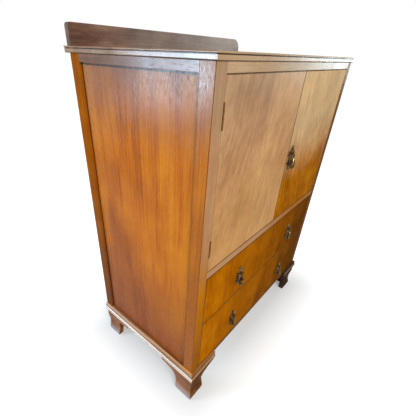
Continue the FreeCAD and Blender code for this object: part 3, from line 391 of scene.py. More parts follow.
def make_wood(
    name, tones, along="z", shift=(0, 0, 0), lean=0, front=None, fades=(), seams=(),
    bands=16, figure=0.7, mottle=0.1, streaks=0.5, shimmer=0.3, clouds=0.2, relief=0.35,
    roughness=0.3, dullness=0.12, speckle=0.0, wear=0.4, gloss=0.12, front_gloss=None,
):
    """A polished wood of three tones, whose grain runs along an axis, with its own front."""
    material, net = new_material(name)
    coordinates = net.add("ShaderNodeTexCoord").outputs
    place = coordinates["Object"]
    turn = Vector(TURNS[along]) + Vector((0, math.radians(lean), 0))
    mapping = net.add("ShaderNodeMapping", {"Vector": place, "Location": shift, "Rotation": turn})
    own_place = mapping.outputs[0]
    on_front = net.ramp(net.vector("DOT_PRODUCT", coordinates["Normal"], FRONTWARD), *FRONT_RANGE)
    if front:
        tones = [net.mix(on_front, side, ahead) for side, ahead in zip(tones, front)]
    dark, middle, pale = tones
    grain = net.add("ShaderNodeGroup", {
        "Vector": own_place, "Dark": dark, "Middle": middle, "Pale": pale, "Bands": bands,
        "Figure": figure, "Mottle": mottle, "Streaks": streaks, "Shimmer": shimmer, "Clouds": clouds,
    }, node_tree=grain_group).outputs
    rounded = net.add("ShaderNodeBevel", {"Radius": ARRIS_RADIUS}, samples=BEVEL_SAMPLES).outputs[0]
    polish = net.add("ShaderNodeGroup", {
        "Vector": own_place, "Rounded": rounded,
        "True": net.add("ShaderNodeNewGeometry").outputs["Normal"],
        "Roughness": roughness, "Dullness": dullness, "Speckle": speckle, "Wear": wear,
    }, node_tree=polish_group).outputs
    color = net.mix(polish["Edge"], grain["Color"], net.mix(BARE_SHARE, pale, BARE_WOOD))
    color = net.mix(net.math("MULTIPLY", polish["Dirt"], DIRT_SHARE), color, dark)
    color = fade_and_seam(net, color, grain["Tone"], place, on_front, fades, seams)
    fibres = net.add("ShaderNodeBump", {
        "Height": grain["Height"], "Distance": FIBRE_DEPTH, "Strength": relief, "Normal": rounded,
    }).outputs[0]
    waves = net.add("ShaderNodeBump", {
        "Height": polish["Height"], "Distance": WAVE_DEPTH, "Strength": WAVE_STRENGTH, "Normal": fibres,
    }).outputs[0]
    values = {
        "Base Color": color, "Roughness": polish["Roughness"], "Normal": waves,
        "IOR": SHELLAC_IOR, "Specular IOR Level": gloss,
    }
    surface = net.add("ShaderNodeBsdfPrincipled", values).outputs[0]
    if front_gloss is not None:
        values["Specular IOR Level"] = front_gloss
        ahead = net.add("ShaderNodeBsdfPrincipled", values).outputs[0]
        surface = net.add("ShaderNodeMixShader", {0: on_front, 1: surface, 2: ahead}).outputs[0]
    net.add("ShaderNodeOutputMaterial", {"Surface": surface})
    return material


def dress(material, *names):
    """Give a material to CAD nodes in place of their plain one."""
    for name in names:
        nodes[name].data.materials.clear()
        nodes[name].data.materials.append(material)
    print(material.name, "on", ", ".join(names))


# %% [markdown]
# ## The sides
#
# The side panels are orange-brown with straight vertical streaks, redder low down and duller at the
# back. They and the sides of the front posts are greyed at the top by a painted reflection of the
# glare. The back posts turn greyer and darker low down, and the side rails are dark and russet. A
# front post is two woods: solid on its side, and faced with a pale veneer ahead, which turns golden
# beside the drawers and then olive, under a pale painted haze of reflection at the top. The right
# one lies in painted shade. Seams of painted shade lie where the panel is recessed into its frame,
# and a dark joint line where the facing of the post ends.

# %% Dress the sides
SIDE = (screen(150, 72, 1), screen(184, 96, 3), screen(202, 118, 12))
POST = (screen(146, 74, 1), screen(180, 100, 3), screen(200, 122, 14))
VENEER = (screen(150, 108, 74), screen(170, 128, 91), screen(186, 145, 107))
BACK_POST = (screen(124, 58, 1), screen(154, 80, 2), screen(178, 104, 10))
RUSSET = (screen(84, 52, 34), screen(112, 72, 50), screen(138, 96, 70))
# Painted reflection: greys the top of the side panels and post sides under the glare.
GREYING_REFLECTION = Fade("z", 0.96, 1.14, screen(116, 78, 52), 0.7, "round")
# Painted reflection: a pale haze over the top of the post fronts.
POST_HAZE_REFLECTION = Fade("z", 0.96, 1.14, screen(150, 126, 100), 0.7, "front")
RED_BELOW = Fade("z", 0.66, 0.2, screen(116, 50, 20), 0.75)
DULL_BACK = Fade("y", 0.05, 0.24, screen(112, 60, 28), 0.35)
AMBER_BELOW = Fade("z", 0.85, 0.5, screen(156, 81, 1), 1.0, "round")
GOLD_BELOW = Fade("z", 0.78, 0.54, screen(176, 107, 3), 1.0, "front")
OLIVE_BELOW = Fade("z", 0.54, 0.28, screen(140, 82, 2), 0.95, "front")
SHADED_END = Fade("x", 0.2, 0.4, screen(96, 50, 4), 0.8, "front")
# Greyer and darker towards the bottom of the back posts.
DULLER_BELOW = Fade("z", 0.9, 0.25, screen(92, 52, 34), 0.85)
# Painted shade in the recess where the panel meets the posts and the rail above.
PANEL_RECESS_SHADE = [Seam("y", -0.2155, 0.002), Seam("y", 0.2150, 0.0055), Seam("z", 1.1455, 0.003)]
# A dark joint where the post's facing ends, and painted shade beside the recessed panel.
POST_JOINT_AND_SHADE = [Seam("y", -0.2552, 0.0016, OLD_POLISH), Seam("y", -0.2165, 0.0008)]
# Painted shade beside the recessed panel.
BACK_POST_RECESS_SHADE = Seam("y", 0.2215, 0.001)
BRIGHT = dict(roughness=0.18, relief=1.0, speckle=0.14)

side_panel = make_wood(
    "side_panel_wood", SIDE, bands=14, figure=0.85, streaks=0.8, clouds=0.6, gloss=0.19,
    fades=[RED_BELOW, DULL_BACK, GREYING_REFLECTION], seams=PANEL_RECESS_SHADE, **BRIGHT,
)
front_post = make_wood(
    "front_post_wood", POST, shift=(0.3, 0.1, 0.2), figure=0.5, front=VENEER, gloss=0.28,
    front_gloss=0.01, fades=[AMBER_BELOW, GOLD_BELOW, OLIVE_BELOW, SHADED_END, GREYING_REFLECTION, POST_HAZE_REFLECTION],
    seams=POST_JOINT_AND_SHADE, **BRIGHT,
)
back_post = make_wood(
    "back_post_wood", BACK_POST, shift=(0.7, 0.4, 0.5), gloss=0.02, fades=[DULLER_BELOW],
    seams=[BACK_POST_RECESS_SHADE],
)
side_rails = make_wood(
    "side_rail_wood", RUSSET, along="y", shift=(0.2, 0.9, 0.1), gloss=0.24, roughness=0.18,
    relief=0.8,
)
dress(side_panel, "left_side_panel", "right_side_panel")
dress(front_post, "front_left_post", "front_right_post")
dress(back_post, "back_left_post", "back_right_post")
dress(side_rails, "left_side_rails", "right_side_rails")

# %% [markdown]
# ## The top and the rails
#
# The top is brown above and pale along its moulded front, where thin lines of painted shade mark the
# quirk between the members of the moulding and the shadow under its edge. The gallery is darker and
# catches the light towards the right. The rail above the doors is pale as well. The one between
# doors and drawers is pinkish on the left and turns as amber as the drawers on the right, with thin
# lines of painted shade in the gaps above and below it, and the one below the drawers lies in their
# painted shade.

# %% Dress the top and the rails
TOP = (screen(110, 76, 50), screen(140, 102, 72), screen(168, 130, 98))
FASCIA = (screen(146, 116, 84), screen(166, 136, 102), screen(186, 158, 124))
GALLERY = (screen(74, 50, 38), screen(104, 74, 58), screen(136, 104, 86))
PINKISH = (screen(150, 108, 72), screen(172, 128, 88), screen(190, 146, 106))
AMBER = (screen(138, 78, 1), screen(160, 94, 2), screen(180, 114, 10))
SHADED_AMBER = (screen(78, 42, 6), screen(100, 58, 10), screen(122, 76, 18))
LIT_GALLERY = Fade("x", -0.4, 0.1, screen(164, 154, 146), 0.65)
AMBER_RIGHT = Fade("x", -0.1, 0.2, AMBER[1], 0.9)
TOP_MEMBER = 0.0055
# Widths of the painted shade in the gaps above and below the middle rail.
RAIL_TOP_SHADE_WIDTH = 0.004
RAIL_LOW_SHADE_WIDTH = 0.0028

top_low, top_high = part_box("top_board")
# Painted shade in the quirk of the top's moulding and under its lower edge.
top_shade_lines = [Seam("z", top_high[2] - TOP_MEMBER, 0.0016), Seam("z", top_low[2], 0.0022)]
top_wood = make_wood(
    "top_wood", TOP, along="x", shift=(0.4, 0.2, 0.6), bands=10, figure=0.5, front=FASCIA,
    gloss=0.5, front_gloss=0.35, roughness=0.2, seams=top_shade_lines,
)
gallery_wood = make_wood(
    "gallery_wood", GALLERY, along="x", shift=(0.9, 0.3, 0.1), bands=12, figure=0.4, clouds=0.8,
    mottle=0.4, gloss=0.3, fades=[LIT_GALLERY],
)
top_rail_wood = make_wood(
    "top_rail_wood", FASCIA, along="x", shift=(0.1, 0.6, 0.3), figure=0.4, roughness=0.22,
)
# Painted shade in the gaps above and below the middle rail.
rail_gap_shade = edge_shade_lines("mid_rail", "t", RAIL_TOP_SHADE_WIDTH) + edge_shade_lines("mid_rail", "b", RAIL_LOW_SHADE_WIDTH)
mid_rail_wood = make_wood(
    "mid_rail_wood", PINKISH, along="x", shift=(0.5, 0.2, 0.8), figure=0.3, gloss=0.02,
    fades=[AMBER_RIGHT], seams=rail_gap_shade,
)
bottom_rail_wood = make_wood(
    "bottom_rail_wood", SHADED_AMBER, along="x", shift=(0.2, 0.7, 0.4), gloss=0.05, roughness=0.4,
)
dress(top_wood, "top_board")
dress(gallery_wood, "gallery_board")
dress(top_rail_wood, "front_top_rail")
dress(mid_rail_wood, "mid_rail")
dress(bottom_rail_wood, "bottom_rail")

# %% [markdown]
# ## The base
#
# The moulding under the carcase has two rounded members, parted by a quirk that is painted dark as
# shade. On the sides its ledge has a painted highlight towards the front, and the lower member a
# pale painted highlight, parted in two by a line of the dark tone. On the front, a thin painted
# highlight lies along the edge of the lower member. The toes of the feet carry a painted grey-blue
# reflection, the fronts of the moulding and the feet take darker tones as painted shade, and painted
# shade darkens the base to the right. A wood that is cut from several boards is still one material,
# because the places of its fades and seams are places on the object.

# %% Dress the base
MOULDING = (screen(120, 78, 48), screen(160, 114, 78), screen(192, 148, 110))
SHADED_MOULDING = (screen(84, 52, 24), screen(122, 82, 44), screen(152, 110, 66))
FOOT = (screen(94, 50, 24), screen(142, 86, 48), screen(172, 120, 80))
SHADED_FOOT = (screen(72, 38, 16), screen(106, 62, 28), screen(134, 86, 44))
# Painted highlight along the ledge at the top of the moulding.
LEDGE_HIGHLIGHT = Fade("z", 0.1703, 0.1709, screen(226, 178, 104), 0.75)
UNLIT_BACK = Fade("y", -0.05, 0.05, MOULDING[1], 0.85)
# Painted highlight on the lower member of the side moulding.
MEMBER_HIGHLIGHT = Fade("z", 0.1545, 0.153, screen(242, 228, 214), 0.8, "round")
# Painted reflection of the light above on the toes of the feet.
TOE_REFLECTION = Fade("z", 0.042, 0.012, screen(150, 156, 170), 0.62, "round")
# Painted shade that darkens the base to the right.
SHADE_TO_RIGHT = Fade("x", -0.3, 0.35, screen(44, 22, 8), 0.92)
# Painted shade in the quirk between the two members.
QUIRK_SHADE = Seam("z", 0.1575, 0.0045)
# A line of the dark tone that parts the painted highlight of the lower member.
HIGHLIGHT_PARTING = Seam("z", 0.1475, 0.002, MOULDING[0])
# Painted highlight along the edge of the lower member on the front.
ARRIS_HIGHLIGHT = Seam("z", 0.1525, 0.0022, screen(226, 190, 150), "front")

side_moulding = make_wood(
    "side_moulding_wood", MOULDING, along="y", shift=(0.5, 0.1, 0.9), figure=0.4, wear=0.9,
    gloss=0.4, roughness=0.25, fades=[LEDGE_HIGHLIGHT, UNLIT_BACK, MEMBER_HIGHLIGHT], seams=[QUIRK_SHADE, HIGHLIGHT_PARTING],
)
front_moulding = make_wood(
    "front_moulding_wood", FOOT, along="x", shift=(0.6, 0.2, 0.8), wear=0.9,
    front=SHADED_MOULDING, front_gloss=0.01, fades=[SHADE_TO_RIGHT], seams=[QUIRK_SHADE, ARRIS_HIGHLIGHT],
)
foot_wood = make_wood(
    "foot_wood", FOOT, along="y", shift=(0.2, 0.8, 0.4), wear=0.9, bands=20,
    front=SHADED_FOOT, front_gloss=0.01, fades=[TOE_REFLECTION, SHADE_TO_RIGHT],
)
dress(side_moulding, "left_side_moulding", "right_side_moulding")
dress(front_moulding, "left_front_moulding", "right_front_moulding")
dress(foot_wood, "front_left_foot", "front_right_foot", "back_left_foot", "back_right_foot")

# %% [markdown]
# ## The doors
#
# The doors are faced with a lively veneer, whose grain leans one way on the left door and the other
# way on the right. The left one is golden low down with a grey painted haze of reflection above, and
# is laid in two leaves with a faint joint between them. The right one is amber, with a pale painted
# reflection above. Their backs are plain. Thin seams of painted shade along the edges make the
# narrow gaps round the doors as dark as on the real one.

# %% Dress the doors
PALE = (screen(158, 114, 74), screen(180, 134, 90), screen(196, 152, 106))
DOOR_BACK = (screen(134, 96, 62), screen(152, 112, 74), screen(168, 130, 90))
GOLDEN = Fade("z", 1.0, 0.65, screen(182, 128, 58), 0.62, "front")
# Painted reflection: a grey haze over the top of the left door.
DOOR_HAZE_REFLECTION = Fade("z", 0.92, 1.14, screen(142, 122, 102), 0.5, "front")
# Painted reflection: pales the upper part of the right door.
PALE_REFLECTION_ABOVE = Fade("z", 0.785, 0.99, screen(202, 172, 130), 0.85, "front")
LEAF_JOINT = -0.205
JOINT_WIDTH = 0.0008
SECOND_LEAF = Fade("x", LEAF_JOINT - JOINT_WIDTH, LEAF_JOINT, screen(214, 168, 108), 0.19, "front")
VENEER_LEAN = 14
LIVELY = dict(bands=12, figure=0.35, shimmer=0.5, clouds=0.4)

left_door_wood = make_wood(
    "left_door_veneer", DOOR_BACK, front=PALE, shift=(0.2, 0.5, 0.7), lean=-VENEER_LEAN, mottle=0.6,
    streaks=0.55, fades=[GOLDEN, DOOR_HAZE_REFLECTION, SECOND_LEAF],
    seams=edge_shade_lines("left_door_board", "rbt", DOOR_GAP_SHADE_WIDTH), **LIVELY,
)
right_door_wood = make_wood(
    "right_door_veneer", DOOR_BACK, front=AMBER, shift=(0.8, 0.1, 0.3), lean=VENEER_LEAN, mottle=0.7,
    streaks=0.6, fades=[PALE_REFLECTION_ABOVE], gloss=0.004, roughness=0.4,
    seams=edge_shade_lines("right_door_board", "lrbt", DOOR_GAP_SHADE_WIDTH), **LIVELY,
)
dress(left_door_wood, "left_door_board")
dress(right_door_wood, "right_door_board")

# %% [markdown]
# ## The drawer fronts
#
# The drawer fronts are a deep amber, and painted shade darkens them to the right. Thin seams of
# painted shade lie in the gaps round them. They have hardly any gloss, because even a little would
# lay a white haze over them when they are seen along their length. Both are cut from the same kind
# of veneer, so one call in a loop makes both woods, each from its own place in the pattern.

# %% Dress the drawer fronts
DRAWER = (screen(140, 74, 0), screen(168, 96, 1), screen(188, 116, 8))
INNER = (screen(120, 82, 50), screen(152, 112, 72), screen(176, 138, 96))
# Painted shade that darkens the drawer fronts to the right.
DRAWER_SHADE_RIGHT = Fade("x", -0.3, 0.4, screen(80, 44, 2), 0.87, "front")
# Width of the painted shade in the gaps round the drawers.
DRAWER_GAP_SHADE_WIDTH = 0.0036
DRAWER_SHIFTS = {"upper": (0.4, 0.4, 0.2), "lower": (0.1, 0.7, 0.6)}

for level, shift in DRAWER_SHIFTS.items():
    drawer_wood = make_wood(
        f"{level}_drawer_veneer", INNER, front=DRAWER, shift=shift, bands=18, figure=0.3, mottle=0.45,
        streaks=0.45, clouds=0.3, fades=[DRAWER_SHADE_RIGHT], gloss=0.002, roughness=0.4,
        seams=edge_shade_lines(f"{level}_drawer_front", "lrbt", DRAWER_GAP_SHADE_WIDTH),
    )
    dress(drawer_wood, f"{level}_drawer_front")

# %% [markdown]
# ## The inside
#
# Nothing inside was ever polished. The drawer linings are a pale wood, and the rest is the same
# mahogany left raw, duller and rougher than outside. The grain of each board runs along its length.

# %% Dress the inside
LINING = (screen(150, 112, 72), screen(182, 146, 100), screen(205, 172, 128))
RAW = dict(roughness=0.55, dullness=0.2, gloss=0.2, wear=0.2)

lining_along_y = make_wood("lining_along_y", LINING, along="y", shift=(0.3, 0.3, 0.9), **RAW)
lining_along_x = make_wood("lining_along_x", LINING, along="x", shift=(0.7, 0.2, 0.1), **RAW)
inner_along_x = make_wood("inner_along_x", INNER, along="x", shift=(0.5, 0.8, 0.3), **RAW)
inner_along_y = make_wood("inner_along_y", INNER, along="y", shift=(0.1, 0.1, 0.7), **RAW)
inner_along_z = make_wood("inner_along_z", INNER, along="z", shift=(0.9, 0.6, 0.2), **RAW)
for level in ("upper", "lower"):
    dress(lining_along_y, f"{level}_drawer_left_side", f"{level}_drawer_right_side")
    dress(lining_along_x, f"{level}_drawer_back", f"{level}_drawer_bottom")
dress(inner_along_x, "drawer_rail", "back_rails", "cupboard_floor", "shelf", "bottom_board")
dress(inner_along_y, "shelf_bearers", "drawer_runners", "drawer_guides")
dress(inner_along_z, "back_panel", "foot_blocks")

# %% [markdown]
# ## Metals
#
# The handles are cast brass that has gone brown, rubbed brighter where it is touched, and their
# plates are chased with small hollows that hold the tarnish. The hinges, bolt and strikes are plain
# brass sheet, and the hinge pins are steel. Tarnish is a share between two colours, so the same
# function makes them all. The chasing comes from a Voronoi texture with smooth cells, which is
# lighter than hammering hundreds of hollows into the mesh.

# %% The metal material
METAL_EDGE = 0.0005
RUBBED_TURN = (0.01, 0.2)
RUBBED_SHARE = 0.35
TARNISH_START = 0.3
SMEARED = 0.2
CHASING_SCALE = 210.0
CHASING_RANGE = (0.35, 0.8)
CHASING_TARNISH = 0.6
CHASING_DEPTH = 3.0
PATCH_RANGE = (0.3, 0.7)
METAL_BUMP = 0.0005
METAL_BUMP_STRENGTH = 0.5


def make_metal(name, dark, bright, roughness, tarnish, chasing=0.0):
    """A metal between its tarnished and its bright colour. Chasing adds small dark hollows."""
    material, net = new_material(name)
    place = net.add("ShaderNodeTexCoord").outputs["Object"]
    rounded = net.add("ShaderNodeBevel", {"Radius": METAL_EDGE}, samples=BEVEL_SAMPLES).outputs[0]
    true = net.add("ShaderNodeNewGeometry").outputs["Normal"]
    turned = net.math("SUBTRACT", 1.0, net.vector("DOT_PRODUCT", rounded, true))
    rubbed = net.math("MULTIPLY", net.ramp(turned, *RUBBED_TURN), RUBBED_SHARE)
    patches = net.noise(place, scale=90.0, detail=4.0, roughness=0.6)
    kept = net.math("SUBTRACT", patches, rubbed)
    share = net.ramp(kept, TARNISH_START, TARNISH_START + tarnish)
    rough = net.ramp(patches, *PATCH_RANGE, roughness, roughness + SMEARED)
    inputs = {"Vector": place, "Scale": CHASING_SCALE}
    cells = net.add("ShaderNodeTexVoronoi", inputs, feature="SMOOTH_F1").outputs["Distance"]
    hollows = net.math("MULTIPLY", cells, chasing)
    held = net.math("MULTIPLY", net.ramp(hollows, *CHASING_RANGE), CHASING_TARNISH)
    share = net.math("ADD", share, held, clamp=True)
    height = net.math("SUBTRACT", patches, net.math("MULTIPLY", hollows, CHASING_DEPTH))
    bump = net.add("ShaderNodeBump", {
        "Height": height, "Distance": METAL_BUMP, "Strength": METAL_BUMP_STRENGTH,
        "Normal": rounded,
    }).outputs[0]
    shader = net.add("ShaderNodeBsdfPrincipled", {
        "Base Color": net.mix(share, bright, dark), "Metallic": 1.0, "Roughness": rough,
        "Normal": bump,
    })
    net.add("ShaderNodeOutputMaterial", {"Surface": shader.outputs[0]})
    return material


# %% Dress the metals
handle_brass = make_metal(
    "handle_brass", screen(48, 24, 4), screen(206, 166, 88), roughness=0.28, tarnish=0.4, chasing=1.0,
)
drop_brass = make_metal(
    "drop_brass", screen(50, 26, 6), screen(190, 158, 98), roughness=0.26, tarnish=0.35,
)
hinge_brass = make_metal(
    "hinge_brass", screen(88, 68, 34), screen(144, 114, 64), roughness=0.4, tarnish=0.5,
)
fitting_brass = make_metal(
    "fitting_brass", screen(140, 112, 62), screen(206, 176, 110), roughness=0.3, tarnish=0.5,
)
pin_steel = make_metal(
    "pin_steel", screen(56, 50, 44), screen(110, 104, 96), roughness=0.36, tarnish=0.5,
)
dress(
    handle_brass,
    "right_door_handle_plate", "upper_drawer_handle_plates", "lower_drawer_handle_plates",
)
for place_name in ("right_door", "upper_left", "upper_right", "lower_left", "lower_right"):
    dress(drop_brass, f"{place_name}_drop")
dress(hinge_brass, "hinge_frame_leaves", "left_door_hinge_leaves", "right_door_hinge_leaves")
dress(fitting_brass, "door_strikes", "right_door_catch", "left_door_bolt_plate", "left_door_bolt")
dress(pin_steel, "hinge_pins")

# %% [markdown]
# ## Screws and pins
#
# The construction model leaves out its small fastenings. One slotted screw head and one domed pin
# head are modelled at their true size at the origin, looking up. The slot is cut with a boolean
# modifier, and the dome is the upper half of a flattened ball. Their meshes are copied to every
# place, and the copies that one body carries are joined.

# %% One screw head
SCREW_RADIUS = 0.0024
SCREW_PROUD = 0.00025
SCREW_DEPTH = 0.0008
SCREW_SIDES = 32
RIM_WIDTH = SCREW_PROUD * 0.8
SLOT_WIDTH = SCREW_RADIUS * 0.28
SLOT_LENGTH = SCREW_RADIUS * 3


def make_screw_head():
    bpy.ops.object.select_all(action="DESELECT")
    middle = (0, 0, SCREW_PROUD - SCREW_DEPTH / 2)
    bpy.ops.mesh.primitive_cylinder_add(
        vertices=SCREW_SIDES, radius=SCREW_RADIUS, depth=SCREW_DEPTH, location=middle,
    )
    head = bpy.context.object
    rim = head.modifiers.new("rim", "BEVEL")
    rim.width = RIM_WIDTH
    rim.segments = 2
    bpy.ops.object.modifier_apply(modifier="rim")
    bpy.ops.mesh.primitive_cube_add(size=1, location=(0, 0, SCREW_PROUD))
    cutter = bpy.context.object
    cutter.scale = (SLOT_LENGTH, SLOT_WIDTH, SCREW_DEPTH)
    bpy.ops.object.select_all(action="DESELECT")
    bpy.context.view_layer.objects.active = head
    slot = head.modifiers.new("slot", "BOOLEAN")
    slot.object = cutter
    bpy.ops.object.modifier_apply(modifier="slot")
    bpy.data.objects.remove(cutter)
    head.data.transform(head.matrix_world)
    head.matrix_world = Matrix.Identity(4)
    return head


screw_head = make_screw_head()
print("screw head", len(screw_head.data.polygons), "faces")

# %% One pin head
PIN_RADIUS = 0.001
PIN_SIDES = 24
PIN_RINGS = 12
PIN_FLATTENING = 0.5
SMOOTH_BELOW = math.radians(40)


def make_pin_head():
    bpy.ops.object.select_all(action="DESELECT")
    bpy.ops.mesh.primitive_uv_sphere_add(segments=PIN_SIDES, ring_count=PIN_RINGS, radius=PIN_RADIUS)
    head = bpy.context.object
    bpy.ops.object.mode_set(mode="EDIT")
    bpy.ops.mesh.select_all(action="SELECT")
    bpy.ops.mesh.bisect(plane_co=(0, 0, 0), plane_no=(0, 0, 1), clear_inner=True, use_fill=True)
    bpy.ops.mesh.select_all(action="SELECT")
    bpy.ops.transform.resize(value=(1, 1, PIN_FLATTENING))
    bpy.ops.object.mode_set(mode="OBJECT")
    bpy.ops.object.shade_smooth_by_angle(angle=SMOOTH_BELOW)
    return head


pin_head = make_pin_head()
print("pin head", len(pin_head.data.polygons), "faces")

# %% [markdown]
# ## Copying the heads
#
# A spot is a place, the way its head looks and how big it is. No two slots stand at the same angle
# on a real cupboard, so each copy is turned a little further than the last. The copies could stay
# separate objects, but joined they are one piece that rides on one body.

# %% A helper that fastens
Spot = namedtuple("Spot", "x y z facing scale", defaults=(1,))
NEXT_TURN = math.radians(137.5)
FORWARD = (0, -1, 0)
BACKWARD = (0, 1, 0)
DOWNWARD = (0, 0, -1)


def fasten(name, body, model, spots, material):
    """Copies of one head at the given spots, joined into one piece that rides on a body."""
    bpy.ops.object.select_all(action="DESELECT")
    for number, spot in enumerate(spots):
        copy = bpy.data.objects.new(name, model.data.copy())
        bpy.context.collection.objects.link(copy)
        place = Matrix.Translation((spot.x, spot.y, spot.z))
        turn = Vector(spot.facing).to_track_quat("Z", "Y").to_matrix().to_4x4()
        spin = Matrix.Rotation(NEXT_TURN * number, 4, "Z")
        copy.data.transform(place @ turn @ spin @ Matrix.Scale(spot.scale, 4))
        copy.select_set(True)
        bpy.context.view_layer.objects.active = copy
    bpy.ops.object.join()
    piece = bpy.context.object
    piece.name = name
    piece.data.materials.clear()
    piece.data.materials.append(material)
    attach(piece, body)
    print(name, "with", len(spots), "heads")
    return piece


# %% [markdown]
# ## Hinge screws
#
# Each of the four hinges has a leaf on the post and a leaf on the door, and each leaf has three
# screws. The middle one sits further back, so that the screws don't split the wood along one line.
# The heads lie on the faces of the post and the door edge, so their places are measured from those.

# %% Fasten the hinges
HINGE_MIDDLE = 0.0805
HINGE_SCREW_LINE = 0.0095
HINGE_STAGGER = 0.004
HINGE_SCREW_PITCH = 0.019


def hinge_spots(face, facing):
    """Three screws in each of a door's two leaves, the middle one nearer the back of the leaf."""
    low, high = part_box("left_door_board")
    spots = []
    for middle in (high[2] - HINGE_MIDDLE, low[2] + HINGE_MIDDLE):
        for number, stagger in ((-1, 0), (0, HINGE_STAGGER), (1, 0)):
            line = low[1] + HINGE_SCREW_LINE + stagger
            height = middle + number * HINGE_SCREW_PITCH
            spots.append(Spot(face, line, height, (facing, 0, 0)))
    return spots


door_edge = -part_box("left_door_board")[0][0]
post_face = -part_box("front_left_post")[1][0]
frame_spots = hinge_spots(-post_face, 1) + hinge_spots(post_face, -1)
left_spots = hinge_spots(-door_edge, -1)
right_spots = hinge_spots(door_edge, 1)
fasten("frame_leaf_screws", "carcase", screw_head, frame_spots, hinge_brass)
fasten("left_door_leaf_screws", "left_door", screw_head, left_spots, hinge_brass)
fasten("right_door_leaf_screws", "right_door", screw_head, right_spots, hinge_brass)

# %% [markdown]
# ## Bolt and strikes
#
# The bolt of the left door runs on a plate behind the door, held by four small screws. Two strike
# plates are let into the top rail, one for the bolt and one for the ball catch of the right door.
# Each has a screw at both ends, whose head looks down.

# %% Fasten the bolt plate
PLATE_PROUD = 0.0015
SCREW_IN = 0.004
SCREW_UP = 0.006
SCREW_DOWN = 0.02
PLATE_SCREW_SIZE = 0.85

plate_low, plate_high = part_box("left_door_bolt_plate")
plate_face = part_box("left_door_board")[1][1] + PLATE_PROUD
across = (plate_low[0] + SCREW_IN, plate_high[0] - SCREW_IN)
upward = (plate_low[2] + SCREW_UP, plate_high[2] - SCREW_DOWN)
bolt_spots = [Spot(x, plate_face, z, BACKWARD, PLATE_SCREW_SIZE) for x in across for z in upward]
fasten("bolt_plate_screws", "left_door", screw_head, bolt_spots, fitting_brass)

# %% Fasten the strikes
STRIKE_SCREW_IN = 0.0035
STRIKE_SCREW_SIZE = 0.8
STRIKE_START = 0.005
BOLT_STRIKE_LINE = -0.2215
CATCH_STRIKE_LINE = -0.2475
LIP_UNDERSIDE = 1.149

strike_low, strike_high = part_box("door_strikes")
strike_places = [
    (strike_low[0] + STRIKE_SCREW_IN, BOLT_STRIKE_LINE, strike_low[2]),
    (-STRIKE_START - STRIKE_SCREW_IN, BOLT_STRIKE_LINE, strike_low[2]),
    (STRIKE_START + STRIKE_SCREW_IN, CATCH_STRIKE_LINE, LIP_UNDERSIDE),
    (strike_high[0] - STRIKE_SCREW_IN, CATCH_STRIKE_LINE, LIP_UNDERSIDE),
]
strike_spots = [Spot(*place, DOWNWARD, STRIKE_SCREW_SIZE) for place in strike_places]
fasten("strike_screws", "carcase", screw_head, strike_spots, fitting_brass)

# %% [markdown]
# ## Pins of the handle plates
#
# Each pierced plate hangs on a large domed pin through its top hole, and a smaller one holds its
# foot. The two plates of a drawer are one node, so the distance of a plate from the middle is
# measured from the box that holds both.

# %% Pin the handle plates
PLATE_THICKNESS = 0.0022
TOP_PIN = 0.0334
LOW_PIN = 0.0385
TOP_PIN_SIZE = 4.2
LOW_PIN_SIZE = 2.4


def plate_spots(name, middles):
    """A pin through the top hole of each plate and one near its foot."""
    low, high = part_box(name)
    up = (low[2] + high[2]) / 2
    face = high[1] - PLATE_THICKNESS
    spots = []
    for middle in middles:
        spots.append(Spot(middle, face, up + TOP_PIN, FORWARD, TOP_PIN_SIZE))
        spots.append(Spot(middle, face, up - LOW_PIN, FORWARD, LOW_PIN_SIZE))
    return spots


door_low, door_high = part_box("right_door_handle_plate")
door_middle = (door_low[0] + door_high[0]) / 2
door_spots = plate_spots("right_door_handle_plate", [door_middle])
fasten("right_door_plate_pins", "right_door", pin_head, door_spots, drop_brass)
for level in ("upper", "lower"):
    plates = f"{level}_drawer_handle_plates"
    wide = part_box(plates)[1][0] - door_high[0] + door_middle
    spots = plate_spots(plates, [-wide, wide])
    fasten(f"{level}_drawer_plate_pins", f"{level}_drawer", pin_head, spots, drop_brass)

# %% [markdown]
# ## Nails of the back
#
# The back panel is nailed on, with a row of iron nails along every edge. The top and bottom rows
# take the corners, so the rows up the sides leave out their ends.

# %% Nail the back panel
NAIL_INSET = 0.009
NAILS_ACROSS = 7
NAILS_UP = 9
NAIL_SIZE = 2.2


def spread(low, high, count):
    """Evenly spaced places, a nail's inset in from each end."""
    first = low + NAIL_INSET
    step = (high - low - 2 * NAIL_INSET) / (count - 1)
    return [first + step * number for number in range(count)]


nail_iron = make_metal(
    "nail_iron", screen(44, 38, 34), screen(96, 88, 80), roughness=0.45, tarnish=0.5,
)
back_low, back_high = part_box("back_panel")
columns = spread(back_low[0], back_high[0], NAILS_ACROSS)
rows = spread(back_low[2], back_high[2], NAILS_UP)
nails = [(x, z) for x in columns for z in (rows[0], rows[-1])]
nails += [(x, z) for x in (columns[0], columns[-1]) for z in rows[1:-1]]
nail_spots = [Spot(x, back_high[1], z, BACKWARD, NAIL_SIZE) for x, z in nails]
fasten("back_panel_nails", "carcase", pin_head, nail_spots, nail_iron)
for model in (screw_head, pin_head):
    bpy.data.objects.remove(model)

# %% [markdown]
# ## Floor
#
# A plain pale floor carries the shadow. To the camera it shows nearly white, with a painted shadow
# that greys it close to the base, so that the cupboard stands on it. Light Path tells a ray of the
# camera from the others.
# For those the floor stays a plain matt surface, apart from a faint glow in what mirrors it.

# %% Floor
GLOSSY_SHARE = 0.1
FLOOR_SIZE = 40
FLOOR_GREY = (0.5, 0.5, 0.5, 1)
WHITE = (1, 1, 1, 1)
FOOTPRINT = (0.45, 0.25, 0.0)
# The painted shadow round the base: its width, and the lower glow close to the base.
PAINTED_SHADOW_WIDTH = 0.3
GLOW_IN_PAINTED_SHADOW = 0.3
GLOW_FAR = 0.9


